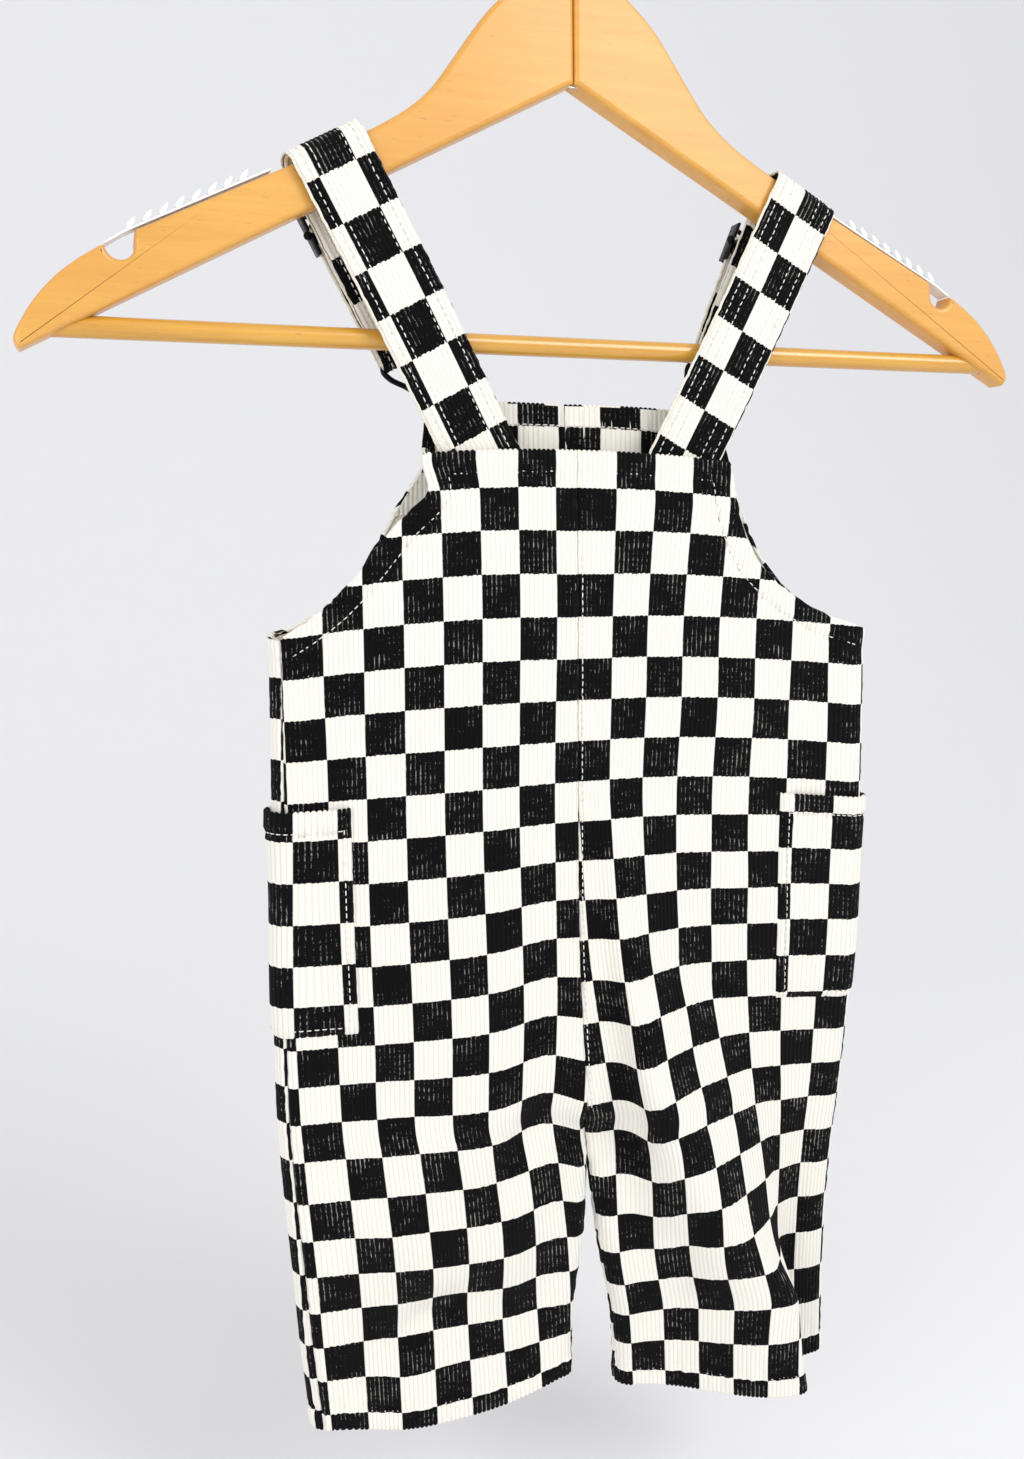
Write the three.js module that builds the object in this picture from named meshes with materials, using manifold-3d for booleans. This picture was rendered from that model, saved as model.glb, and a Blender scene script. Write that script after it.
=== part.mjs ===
// Toddler's bib overalls in corduroy, hanging by their straps from a wooden trouser hanger.
// Millimetres, +Z up. The origin is the inside crest of the hanger's hook, the front of the
// garment faces -Y, and +X is to the right as the front is seen.
import * as THREE from "three";
import { mergeVertices } from "three/addons/utils/BufferGeometryUtils.js";
import Module from "manifold-3d";

const wasm = await Module();
wasm.setup();

// Driving sizes of the garment
const clothThick = 1.8;
const seamGap = 0.3;
const strapWide = 30;
const strapThick = 2.2;
const crotchDown = 305;
const armholeDown = 70;
const pocketThick = 1.8;

// Driving sizes of the hanger
const hangerHalfSpan = 222.5;
const hangerThick = 12;
const hangerEdge = 2;
const apexZ = -125;
const undersideSlope = 0.52;
const crownZ = -78;
const barRadius = 4.2;
const barZ = -229.8;
const barHalf = 213.5;
const hookWire = 3.4;
const hookInside = 20;

// Builds a table: named columns, then one row for each section or fold.
function table(columns, ...rows) {
  return rows.map((row) => Object.fromEntries(columns.map((name, index) => [name, row[index]])));
}

// A smooth curve through one column of a table, read at a place down the cloth.
function along(rows, column, down) {
  const last = rows.length - 1;
  if (down <= rows[0].down) return rows[0][column];
  if (down >= rows[last].down) return rows[last][column];
  let index = 0;
  while (rows[index + 1].down < down) index += 1;
  const slopeAt = (k) => {
    const before = rows[Math.max(k - 1, 0)];
    const after = rows[Math.min(k + 1, last)];
    return (after[column] - before[column]) / (after.down - before.down);
  };
  const start = rows[index];
  const end = rows[index + 1];
  const span = end.down - start.down;
  const t = (down - start.down) / span;
  const rise = end[column] - start[column];
  const bendStart = slopeAt(index) * span - rise;
  const bendEnd = rise - slopeAt(index + 1) * span;
  return start[column] + rise * t + t * (1 - t) * ((1 - t) * bendStart + t * bendEnd);
}

const clamp01 = (value) => Math.min(1, Math.max(0, value));
const smooth = (value) => {
  const t = clamp01(value);
  return t * t * (3 - 2 * t);
};

// A fall from 0 to 1 that is nearly straight, with short rounded ends.
const ramp = (value) => {
  const round = 0.2;
  const t = clamp01(value);
  const steep = 1 / (1 - round);
  if (t < round) return (steep * t * t) / (2 * round);
  if (t > 1 - round) return 1 - (steep * (1 - t) ** 2) / (2 * round);
  return steep * (t - round / 2);
};

// Every "down" is millimetres of cloth below the front bib's top edge, every "across"
// millimetres of cloth from the centre seam.
// Sections of each half: where the centre seam or inseam and the side turn lie.
const sectionColumns = ["down", "cut", "seamX", "sideX", "seamZ", "middleZ", "sideZ"];
const leftSections = table(
  sectionColumns,
  [-22, 0, -1.5, -125.5, -252.5, -253, -260],
  [0, 0, -1.5, -125.5, -274, -276, -285],
  [33, 0, -1.5, -125.5, -307, -307.5, -314.5],
  [69, 0, -1.5, -125.5, -343.5, -343.5, -348.5],
  [141, -1.5, -2, -126, -415, -415, -415.5],
  [213, -2, -2, -128, -486, -487, -485.5],
  [249, -4, -1.5, -128.5, -523.5, -522, -519.5],
  [285, -9, 0, -128.5, -562, -557, -552],
  [305, -13, 3, -127.5, -580.5, -575.5, -571],
  [321, -11.5, 4, -126.5, -597.5, -592, -588],
  [357, -4.5, 2.5, -123.5, -631.5, -628, -622],
  [393, 3, -1.5, -120.5, -663.5, -660.5, -656.5],
  [437, 6, -3, -117, -697, -703.5, -695],
);
const rightSections = table(
  sectionColumns,
  [-22, 0, -1.5, 137, -252.5, -254.5, -264],
  [0, 0, -1.5, 137, -274, -278, -289],
  [33, 0, -1.5, 137, -307, -309.5, -319],
  [69, 0, -1.5, 137.5, -343.5, -345, -351.5],
  [141, 0, -2, 138, -415, -416.5, -425],
  [213, -5, -2, 137, -486, -485.5, -493.5],
  [249, -9, -1.5, 135, -523.5, -521.5, -529],
  [285, -13, 0, 132.5, -562, -558, -563],
  [305, -16, 3, 131, -580.5, -577.5, -582],
  [321, -15, 5.5, 129.5, -600, -594.5, -597.5],
  [357, -12, 8.5, 127, -637.5, -632, -632],
  [393, -11, 12.5, 126, -671, -668.5, -670],
  [437, -11, 14.5, 125.5, -707, -713, -715],
);

// Depths of each half: the two walls at the centre seam and half way across, and the middle
// and radius of the turns that join them at the side and, below the crotch, at the inseam.
const depthColumns = [
  "down", "frontSeamY", "backSeamY", "frontMiddleY", "backMiddleY", "turnY", "sideTurn", "inY", "inTurn",
];
const leftDepths = table(
  depthColumns,
  [-22, -10, 7, -11, 8, -2, 7.5, -1, 5],
  [69, -10.5, 7.5, -12, 9, -2, 7.5, -1, 5],
  [141, -10.5, 8, -13, 10.5, -1.5, 8, -1, 5],
  [213, -11, 9, -13, 11.5, -1, 8, -1, 5],
  [249, -13, 9.5, -13, 11.5, -1, 8, -1, 5],
  [285, -14, 9, -12.5, 11, -1, 8, -1, 5],
  [305, -6, 4, -12, 11, 0, 8, -1, 5],
  [321, -6, 4, -11.5, 11, 0, 8, -0.5, 5.7],
  [357, -6, 4, -9.5, 12, 1.5, 8.5, 0, 6.5],
  [393, -6, 4, -3, 15, 4.5, 9, 2.5, 6.8],
  [437, -6, 4, -5, 15, 4.5, 9, 3.5, 7],
);
const rightDepths = table(
  depthColumns,
  [-22, -10, 7, -11, 8, -2, 8, -1, 5],
  [69, -10.5, 7.5, -12, 9, -2, 8, -1, 5],
  [141, -10.5, 8, -12, 10.5, -1.5, 8, -1, 5],
  [213, -11, 9, -11.5, 11.5, -1, 8, -1, 5],
  [249, -13, 9.5, -11, 11.5, 0, 8, -1, 5],
  [285, -14, 9, -10, 11, 1, 8, -1, 5],
  [305, -6, 4, -9, 11, 2, 8, -1, 5],
  [321, -6, 4, -8.5, 11.5, 3, 8, -1, 6.5],
  [357, -6, 4, -7.5, 13, 5, 8.5, -1, 8],
  [393, -6, 4, -6.5, 14.5, 6, 8.5, 0.5, 8],
  [437, -6, 4, -7, 14.5, 5.5, 8.5, 2, 8],
);

// The deep swell of the right leg: it climbs from the inner edge to a crest that runs down
// and outward, then falls away steeply.
const swell = table(
  ["down", "crest", "height", "climb", "fall"],
  [150, 14, 0, 18, 42],
  [213, 18, 7, 20, 46],
  [249, 22, 12, 22, 48],
  [285, 28, 18, 26, 58],
  [321, 40, 21, 40, 58],
  [357, 56, 23, 52, 48],
  [393, 76, 25, 76, 34],
  [437, 84, 25, 84, 34],
);

// Ease: how far the middle of each row of cloth is drawn towards the centre seam.
const easeColumns = ["down", "drawn"];
const leftEase = table(
  easeColumns, [150, 0], [190, 1], [250, 3.5], [290, 5], [320, 5.7], [350, 5], [385, 4], [410, 2], [437, 0],
);
const rightEase = table(
  easeColumns, [20, 0], [70, 3.5], [110, 4.5], [150, 7], [200, 8.5], [235, 8], [265, 6.5], [300, 3.5],
  [340, 1.5], [393, 0],
);

// Soft creases: a straight run of cloth that lies lower, or higher where the depth is negative.
const creaseColumns = ["across", "down", "toAcross", "toDown", "depth", "width"];
const frontLeftCreases = table(
  creaseColumns,
  [96, 394, 56, 372, 3.2, 9],
  [12, 288, 46, 330, 2.6, 9],
  [112, 84, 88, 128, 1.6, 10],
  [98, 262, 70, 300, 1.5, 11],
  [30, 402, 22, 350, 1.8, 9],
  [108, 330, 80, 352, -1.6, 10],
);
const frontRightCreases = table(
  creaseColumns,
  [9, 176, 12, 268, 2.2, 8],
  [112, 78, 96, 132, 1.8, 10],
  [30, 214, 84, 262, 1.8, 11],
  [118, 300, 108, 420, 2.4, 8],
  [22, 398, 40, 330, 2, 9],
  [70, 168, 92, 214, -1.4, 12],
);
const backLeftCreases = table(
  creaseColumns,
  [14, 282, 58, 330, 3, 10],
  [104, 96, 80, 146, 2, 11],
  [90, 300, 40, 404, 2.8, 11],
  [34, 170, 20, 250, 1.8, 10],
  [106, 372, 76, 396, 2, 9],
);
const backRightCreases = table(
  creaseColumns,
  [14, 280, 52, 322, 2.8, 10],
  [110, 92, 84, 150, 2.2, 11],
  [36, 330, 84, 412, 3, 12],
  [40, 178, 24, 246, 1.6, 10],
  [108, 306, 100, 396, 2, 9],
);

// Armholes, as millimetres of cloth down and across, from the bib's corner to the side turn.
const armholeColumns = ["down", "across"];
const frontLeftArmhole = table(
  armholeColumns,
  [0, 63.5], [15, 64.5], [27, 77], [37, 86], [47, 95], [57, 106], [65, 118], [70, 127],
);
const frontRightArmhole = table(
  armholeColumns,
  [0, 66], [16, 69], [27, 72], [41, 80], [50, 88.5], [59, 101], [65.5, 115], [70, 133],
);
const backLeftArmhole = table(
  armholeColumns,
  [-21, 64], [-6, 66], [9, 72], [25, 80], [38, 90], [52, 102], [62, 114], [70, 139],
);
const backRightArmhole = table(
  armholeColumns,
  [-21, 72], [-6, 74], [9, 78], [25, 84], [39, 92], [53, 104], [63, 117], [71, 140],
);

// One half of the garment. The front panel takes frontTurn of the side's half circle, and the
// back panel the rest.
const halves = {
  left: {
    side: -1,
    sections: leftSections,
    depths: leftDepths,
    ease: leftEase,
    flatEnd: 122.5,
    frontTurn: 0.19,
  },
  right: {
    side: 1,
    sections: rightSections,
    depths: rightDepths,
    ease: rightEase,
    flatEnd: 128,
    frontTurn: 0.5,
  },
};

// How far a crease lowers the cloth at one place.
function creaseDrop(crease, across, down) {
  const runAcross = crease.toAcross - crease.across;
  const runDown = crease.toDown - crease.down;
  const runSquared = runAcross ** 2 + runDown ** 2;
  const share = ((across - crease.across) * runAcross + (down - crease.down) * runDown) / runSquared;
  const near = clamp01(share);
  const offAcross = across - crease.across - near * runAcross;
  const offDown = down - crease.down - near * runDown;
  const aside = (offAcross ** 2 + offDown ** 2) / crease.width ** 2;
  const tapered = 0.35 + 0.65 * Math.sin(Math.PI * near);
  return crease.depth * tapered * Math.exp(-aside);
}

// How far the right leg's swell lifts the front wall at one place.
function swellLift(across, down, innerEdge) {
  const crest = along(swell, "crest", down);
  const climb = Math.min(along(swell, "climb", down), crest - innerEdge);
  const up = smooth(1 - (crest - across) / climb);
  const off = ramp((across - crest) / along(swell, "fall", down));
  return along(swell, "height", down) * up * (1 - off);
}

// How far the inner edge has turned towards the other wall: none above the crotch, a
// quarter turn below it.
const turnBegins = 22;
const innerAngle = (down) => (Math.PI / 2) * smooth((down - crotchDown + turnBegins) / turnBegins);

// One level row of a wall: stations across the flat cloth between the two turns. Creases and
// the swell fade out over the edge fade, and no part of a row climbs steeper than the limit.
const stationCount = 60;
const edgeFade = 10;
const steepest = 0.97;
function makeRow(half, face, down) {
  const { side, sections, depths, ease, flatEnd } = half;
  const isFront = face.sign < 0;
  const angle = innerAngle(down);
  const inTurn = along(depths, "inTurn", down);
  const sideTurn = along(depths, "sideTurn", down);
  const cut = along(sections, "cut", down);
  const start = cut + inTurn * angle;
  const turnY = along(depths, "turnY", down);
  const inseamY = along(depths, "inY", down) + face.sign * inTurn;
  const seamY = down < crotchDown ? along(depths, isFront ? "frontSeamY" : "backSeamY", down) : inseamY;
  const middleY = along(depths, isFront ? "frontMiddleY" : "backMiddleY", down);
  const endY = turnY + face.sign * sideTurn;
  const seamZ = along(sections, "seamZ", down);
  const middleZ = along(sections, "middleZ", down);
  const endZ = along(sections, "sideZ", down);
  const curve = (a, b, c, w) => a + (c - a) * w + (4 * b - 2 * a - 2 * c) * w * (1 - w);
  const stations = [];
  let travelled = 0;
  for (let index = 0; index <= stationCount; index += 1) {
    const w = index / stationCount;
    const across = start + (flatEnd - start) * w;
    const innerFade = smooth((across - start) / edgeFade);
    const outerFade = smooth((flatEnd - across) / edgeFade);
    let lift = 0;
    for (const crease of face.creases) lift -= creaseDrop(crease, across, down) * innerFade * outerFade;
    if (face.swells) lift += swellLift(across, down, start) * outerFade;
    const y = curve(seamY, middleY, endY, w) + face.sign * lift;
    const z = curve(seamZ, middleZ, endZ, w);
    if (index > 0) {
      const step = (flatEnd - start) / stationCount;
      const slope = Math.min(steepest, Math.abs(y - stations[index - 1].y) / step);
      travelled += step * Math.sqrt(1 - slope ** 2);
    }
    stations.push({ across, w, travelled, y, z });
  }
  const firstX = along(sections, "seamX", down) + side * inTurn * Math.sin(angle);
  const lastX = along(sections, "sideX", down);
  const drawn = side * along(ease, "drawn", down);
  for (const station of stations) {
    const eased = drawn * 4 * station.w * (1 - station.w);
    station.x = firstX + ((lastX - firstX) * station.travelled) / travelled - eased;
  }
  return { side, sign: face.sign, cut, start, flatEnd, angle, inTurn, sideTurn, stations };
}

// A point on a wall's outer surface.
function pointOnRow(row, across) {
  const { side, sign, start, flatEnd, inTurn, sideTurn, stations } = row;
  const first = stations[0];
  const last = stations[stations.length - 1];
  if (across < start) {
    const angle = (start - across) / inTurn;
    const x = first.x - side * inTurn * Math.sin(angle);
    return new THREE.Vector3(x, first.y - sign * inTurn * (1 - Math.cos(angle)), first.z);
  }
  if (across > flatEnd) {
    const angle = (across - flatEnd) / sideTurn;
    const x = last.x + side * sideTurn * Math.sin(angle);
    return new THREE.Vector3(x, last.y - sign * sideTurn * (1 - Math.cos(angle)), last.z);
  }
  const place = ((across - start) / (flatEnd - start)) * (stations.length - 1);
  const index = Math.min(Math.floor(place), stations.length - 2);
  const part = place - index;
  const from = stations[index];
  const to = stations[index + 1];
  return new THREE.Vector3(
    from.x + (to.x - from.x) * part,
    from.y + (to.y - from.y) * part,
    from.z + (to.z - from.z) * part,
  );
}

// A closed body from corner points and triangles, turned so that its faces point out.
function closedBody(points, triangles) {
  let volume = 0;
  for (const [a, b, c] of triangles) {
    volume += points[a].dot(new THREE.Vector3().crossVectors(points[b], points[c]));
  }
  const outward = volume > 0 ? triangles : triangles.map(([a, b, c]) => [a, c, b]);
  const geometry = new THREE.BufferGeometry();
  const flat = points.flatMap((point) => [point.x, point.y, point.z]);
  geometry.setAttribute("position", new THREE.Float32BufferAttribute(flat, 3));
  geometry.setIndex(outward.flat());
  return geometry;
}

// A place on a wall: its outer point, and the direction square to the cloth, out of the garment.
function placeOnWall(rows, across) {
  const step = 0.2;
  const point = pointOnRow(rows.here, across);
  const run = new THREE.Vector3().subVectors(
    pointOnRow(rows.here, across + step),
    pointOnRow(rows.here, across - step),
  );
  const fall = new THREE.Vector3().subVectors(
    pointOnRow(rows.below, across),
    pointOnRow(rows.above, across),
  );
  const out = new THREE.Vector3().crossVectors(run, fall).normalize();
  return { point, out: out.multiplyScalar(rows.here.side * rows.here.sign) };
}

function rowsAt(half, face, down) {
  const step = 0.5;
  return {
    above: makeRow(half, face, down - step),
    here: makeRow(half, face, down),
    below: makeRow(half, face, down + step),
  };
}

// A cloth wall: a grid of outer points, a second grid set back by the cloth's thickness, and
// the cut edges between them. Lift moves the whole wall outward.
function clothWall(grid, thick, lift = () => 0) {
  const rows = grid.length;
  const columns = grid[0].length;
  const outer = [];
  const inner = [];
  grid.forEach((line, j) => {
    for (const { point, out } of line) {
      outer.push(point.clone().addScaledVector(out, lift(j) + (lift(j) > 0 ? thick : 0)));
      inner.push(point.clone().addScaledVector(out, lift(j) - (lift(j) > 0 ? 0 : thick)));
    }
  });
  const points = [...outer, ...inner];
  const under = rows * columns;
  const triangles = [];
  const quad = (a, b, c, d) => triangles.push([a, b, c], [a, c, d]);
  for (let j = 0; j < rows - 1; j += 1) {
    for (let i = 0; i < columns - 1; i += 1) {
      const a = j * columns + i;
      quad(a, a + 1, a + columns + 1, a + columns);
      quad(under + a, under + a + columns, under + a + columns + 1, under + a + 1);
    }
  }
  for (let i = 0; i < columns - 1; i += 1) {
    const a = (rows - 1) * columns + i;
    quad(i, under + i, under + i + 1, i + 1);
    quad(a, a + 1, under + a + 1, under + a);
  }
  for (let j = 0; j < rows - 1; j += 1) {
    const a = j * columns;
    const b = a + columns - 1;
    quad(a, a + columns, under + a + columns, under + a);
    quad(b, under + b, under + b + columns, b + columns);
  }
  return closedBody(points, triangles);
}

// Rows down a panel, closer together round the armhole, the crotch and the hem.
const frontRows = [
  0, 9, 17, 27, 37, 47, 57, 65, 70, 84, 100, 118, 136, 154, 172, 190, 207, 224, 241, 258, 273, 286,
  296, 305, 316, 330, 345, 360, 376, 392, 408, 423, 437,
];
const backRows = [
  -21, -8, 6, 20, 34, 47, 58, 70, 90, 115, 140, 165, 190, 215, 240, 262, 282, 295, 305, 322, 345, 368,
  391, 414, 437,
];

// Stations across a panel: a few on each turn, the rest spread over the flat cloth.
const innerCount = 3;
function acrossStations(row, edge, flatCount, sideCount) {
  const first = row.cut + seamGap / 2;
  const last = edge - seamGap / 2;
  const plain = (last - first) / (innerCount + flatCount + sideCount);
  const turned = row.angle / (Math.PI / 2);
  const inner = innerCount * plain * (1 - turned) + (row.start - first + 1) * turned;
  const arc = Math.max(0, edge - row.flatEnd);
  const wrapped = clamp01(arc / 4);
  const side = sideCount * plain * (1 - wrapped) + (arc + 1) * wrapped;
  const spread = [];
  for (let k = 0; k < innerCount; k += 1) spread.push(first + (inner * k) / innerCount);
  for (let k = 0; k <= flatCount; k += 1) {
    spread.push(first + inner + ((last - side - first - inner) * k) / flatCount);
  }
  for (let k = 1; k <= sideCount; k += 1) spread.push(last - side + (side * k) / sideCount);
  return spread;
}

// One panel of the garment, from its top edge to its hem.
function panel(half, face, rowsDown, flatCount, sideCount) {
  const grid = rowsDown.map((down) => {
    const rows = rowsAt(half, face, down);
    const share = face.sign < 0 ? half.frontTurn : 1 - half.frontTurn;
    const seamEdge = half.flatEnd + rows.here.sideTurn * Math.PI * share;
    const edge = down < armholeDown ? Math.min(seamEdge, along(face.armhole, "across", down)) : seamEdge;
    const stations = acrossStations(rows.here, edge, flatCount, sideCount);
    return stations.map((across) => placeOnWall(rows, across));
  });
  return clothWall(grid, clothThick);
}

const faces = {
  frontLeft: { sign: -1, creases: frontLeftCreases, armhole: frontLeftArmhole },
  frontRight: { sign: -1, creases: frontRightCreases, armhole: frontRightArmhole, swells: true },
  backLeft: { sign: 1, creases: backLeftCreases, armhole: backLeftArmhole },
  backRight: { sign: 1, creases: backRightCreases, armhole: backRightArmhole },
};

// Patch pockets, wrapped round the side seam. Reach is how far each runs on to the flat cloth
// of the front and of the back.
const pockets = {
  left: { top: 145, bottom: 243, frontReach: 22, backReach: 24, gape: 1.2 },
  right: { top: 149, bottom: 250, frontReach: 31, backReach: 24, gape: 0.8 },
};
const pocketRows = 7;
const pocketStand = 0.45;

function pocket(half, frontFace, backFace, sizes) {
  const grid = [];
  for (let j = 0; j <= pocketRows; j += 1) {
    const down = sizes.top + ((sizes.bottom - sizes.top) * j) / pocketRows;
    const front = rowsAt(half, frontFace, down);
    const back = rowsAt(half, backFace, down);
    const line = [];
    const third = (k) => k / 3;
    const sixth = (front.here.sideTurn * Math.PI) / 6;
    const end = half.flatEnd;
    for (let k = 3; k >= 1; k -= 1) line.push(placeOnWall(front, end - sizes.frontReach * third(k)));
    for (let k = 0; k <= 3; k += 1) line.push(placeOnWall(front, end + sixth * k));
    for (let k = 2; k >= 0; k -= 1) line.push(placeOnWall(back, end + sixth * k));
    for (let k = 1; k <= 3; k += 1) line.push(placeOnWall(back, end - sizes.backReach * third(k)));
    grid.push(line);
  }
  const gapingRows = 3;
  return clothWall(grid, pocketThick, (j) => pocketStand + sizes.gape * (1 - smooth(j / gapingRows)));
}

// A strap lies in a plane square to the hanger's arm. "up" is the distance along it from the
// arm's top, and "y" its depth.
const strapLean = Math.atan(undersideSlope);
const straps = {
  left: { topX: -105.5, topZ: -157, lean: -1 },
  right: { topX: 109, topZ: -160.5, lean: 1 },
};
const buckleBarUp = -84;
const buckleBarY = 12.3;
const buckleWire = 2.4;
const sliderBarUp = -29;
const sliderBarY = 14.6;
const sliderBarThick = 2.4;
const foldRadius = (barThick) => barThick / 2 + seamGap + strapThick / 2;

function arcPoints(centreUp, centreY, radius, from, to, count) {
  const points = [];
  for (let k = 0; k <= count; k += 1) {
    const angle = from + ((to - from) * k) / count;
    points.push(new THREE.Vector2(centreUp + radius * Math.cos(angle), centreY + radius * Math.sin(angle)));
  }
  return points;
}

// The strap's middle line: from behind the bib, up the front, over the arm, down to the
// buckle, round its bar, and back up to the slider, where it is sewn round the middle bar.
const strapGoingUp = table(
  ["up", "y"],
  [-140, -7], [-122, -7.2], [-90, -8.6], [-55, -8.9], [-25, -8], [-12, -7.7],
);
const strapGoingDown = table(["up", "y"], [-20, 7.8], [-40, 8.6], [-62, 9.2]);
const strapComingBack = table(["up", "y"], [-62, 16.4]);
function strapLine() {
  const armGap = 0.6;
  const armHalf = hangerThick / 2 + armGap + strapThick / 2;
  const corner = 4.6;
  const cornerUp = strapThick / 2 + armGap - corner;
  const cornerY = armHalf - corner;
  const buckleFold = foldRadius(buckleWire);
  const sliderFold = foldRadius(sliderBarThick);
  const placed = (rows) => rows.map(({ up, y }) => new THREE.Vector2(up, y));
  return [
    ...placed(strapGoingUp),
    ...arcPoints(cornerUp, -cornerY, corner, -Math.PI / 2, 0, 4),
    ...arcPoints(cornerUp, cornerY, corner, 0, Math.PI / 2, 4),
    ...placed(strapGoingDown),
    ...arcPoints(buckleBarUp, buckleBarY, buckleFold, 1.5 * Math.PI, 0.5 * Math.PI, 6),
    ...placed(strapComingBack),
    ...arcPoints(sliderBarUp, sliderBarY, sliderFold, 0.5 * Math.PI, -0.42 * Math.PI, 6),
  ];
}

// The outline of a band of even thickness round a line of points.
function bandShape(line, thick) {
  const offset = (sign) =>
    line.map((point, index) => {
      const before = line[Math.max(index - 1, 0)];
      const after = line[Math.min(index + 1, line.length - 1)];
      const run = new THREE.Vector2().subVectors(after, before).normalize();
      const shift = (sign * thick) / 2;
      return new THREE.Vector2(point.x - run.y * shift, point.y + run.x * shift);
    });
  return new THREE.Shape([...offset(1), ...offset(-1).reverse()]);
}

// Drops normals and uvs and joins shared corners, so that a body is closed.
function welded(geometry) {
  geometry.deleteAttribute("normal");
  geometry.deleteAttribute("uv");
  return mergeVertices(geometry, 1e-4);
}

function extruded(shape, depth, options = {}) {
  const settings = { depth, bevelEnabled: false, steps: 1, curveSegments: 10, ...options };
  return welded(new THREE.ExtrudeGeometry(shape, settings));
}

// Places a geometry whose x is up the strap, y is depth, and z is across the strap.
function strapFrame(strap) {
  const up = new THREE.Vector3(strap.lean * Math.sin(strapLean), 0, Math.cos(strapLean));
  const depth = new THREE.Vector3(0, 1, 0);
  const across = new THREE.Vector3().crossVectors(up, depth);
  const frame = new THREE.Matrix4().makeBasis(up, depth, across);
  return frame.setPosition(strap.topX, 0, strap.topZ);
}

function strapBody(strap) {
  const body = extruded(bandShape(strapLine(), strapThick), strapWide);
  return body.translate(0, 0, -strapWide / 2).applyMatrix4(strapFrame(strap));
}

function toManifold(geometry) {
  const mesh = new wasm.Mesh({
    numProp: 3,
    vertProperties: new Float32Array(geometry.attributes.position.array),
    triVerts: new Uint32Array(geometry.index.array),
  });
  return new wasm.Manifold(mesh);
}

function fromManifold(manifold) {
  const mesh = manifold.getMesh();
  const geometry = new THREE.BufferGeometry();
  geometry.setAttribute("position", new THREE.BufferAttribute(new Float32Array(mesh.vertProperties), 3));
  geometry.setIndex(new THREE.BufferAttribute(new Uint32Array(mesh.triVerts), 1));
  return geometry;
}

function joined(geometries) {
  return fromManifold(geometries.map(toManifold).reduce((whole, piece) => whole.add(piece)));
}

function cutAway(geometry, cutters) {
  const start = toManifold(geometry);
  return fromManifold(cutters.map(toManifold).reduce((whole, piece) => whole.subtract(piece), start));
}

// Mirrors a body to the left side when side is negative, with its faces still pointing out.
function mirroredTo(side, geometry) {
  if (side > 0) return geometry;
  geometry.scale(-1, 1, 1);
  const order = geometry.index.array;
  for (let k = 0; k < order.length; k += 3) {
    const second = order[k + 1];
    order[k + 1] = order[k + 2];
    order[k + 2] = second;
  }
  return geometry;
}

// A round rod between two points.
function rod(from, to, radius, sides = 8) {
  const run = new THREE.Vector3().subVectors(to, from);
  const body = welded(new THREE.CylinderGeometry(radius, radius, run.length(), sides));
  const turn = new THREE.Quaternion().setFromUnitVectors(new THREE.Vector3(0, 1, 0), run.normalize());
  const middle = new THREE.Vector3().addVectors(from, to).multiplyScalar(0.5);
  return body.applyQuaternion(turn).translate(middle.x, middle.y, middle.z);
}

// A bent round wire through a smooth curve. A loop has no ends.
function wire(points, radius, loop, steps, sides = 6) {
  const path = new THREE.CatmullRomCurve3(points, loop, "catmullrom", 0.5);
  const frames = path.computeFrenetFrames(steps, loop);
  const ringCount = loop ? steps : steps + 1;
  const corners = [];
  for (let ring = 0; ring < ringCount; ring += 1) {
    const centre = path.getPointAt(ring / steps);
    for (let side = 0; side < sides; side += 1) {
      const angle = (2 * Math.PI * side) / sides;
      const corner = centre.clone().addScaledVector(frames.normals[ring], radius * Math.cos(angle));
      corners.push(corner.addScaledVector(frames.binormals[ring], radius * Math.sin(angle)));
    }
  }
  const triangles = [];
  for (let ring = 0; ring < (loop ? ringCount : ringCount - 1); ring += 1) {
    const next = ((ring + 1) % ringCount) * sides;
    for (let side = 0; side < sides; side += 1) {
      const other = (side + 1) % sides;
      triangles.push([ring * sides + side, ring * sides + other, next + other]);
      triangles.push([ring * sides + side, next + other, next + side]);
    }
  }
  for (let side = 1; side < sides - 1 && !loop; side += 1) {
    const last = (ringCount - 1) * sides;
    triangles.push([0, side + 1, side], [last, last + side, last + side + 1]);
  }
  return closedBody(corners, triangles);
}

// The slider: a frame whose outer bars cross the strap's outside and whose middle bar lies
// in the strap's fold. A round-ended bar shows at each side.
const sliderWide = strapWide + 5.4;
const sliderLong = 15;
function slider(strap) {
  const half = sliderWide / 2;
  const outerY = sliderBarY + foldRadius(sliderBarThick) + strapThick / 2 + 0.4 + 1.1;
  const bar = (up, y, radius, reach) =>
    rod(new THREE.Vector3(up, y, -reach), new THREE.Vector3(up, y, reach), radius);
  const pieces = [
    bar(sliderBarUp, sliderBarY, sliderBarThick / 2, half),
    bar(sliderBarUp + sliderLong / 2, outerY, 1.1, half),
    bar(sliderBarUp - sliderLong / 2, outerY, 1.1, half),
  ];
  for (const end of [-half, half]) {
    const plate = new THREE.BoxGeometry(sliderLong + 2.2, outerY - sliderBarY + 2.4, 1.8);
    const middleY = (outerY + sliderBarY) / 2;
    pieces.push(welded(plate).translate(sliderBarUp, middleY, end));
    const knob = welded(new THREE.SphereGeometry(2.3, 8, 5));
    pieces.push(knob.translate(sliderBarUp, sliderBarY, end + Math.sign(end) * 1.4));
  }
  return joined(pieces).applyMatrix4(strapFrame(strap));
}

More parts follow.
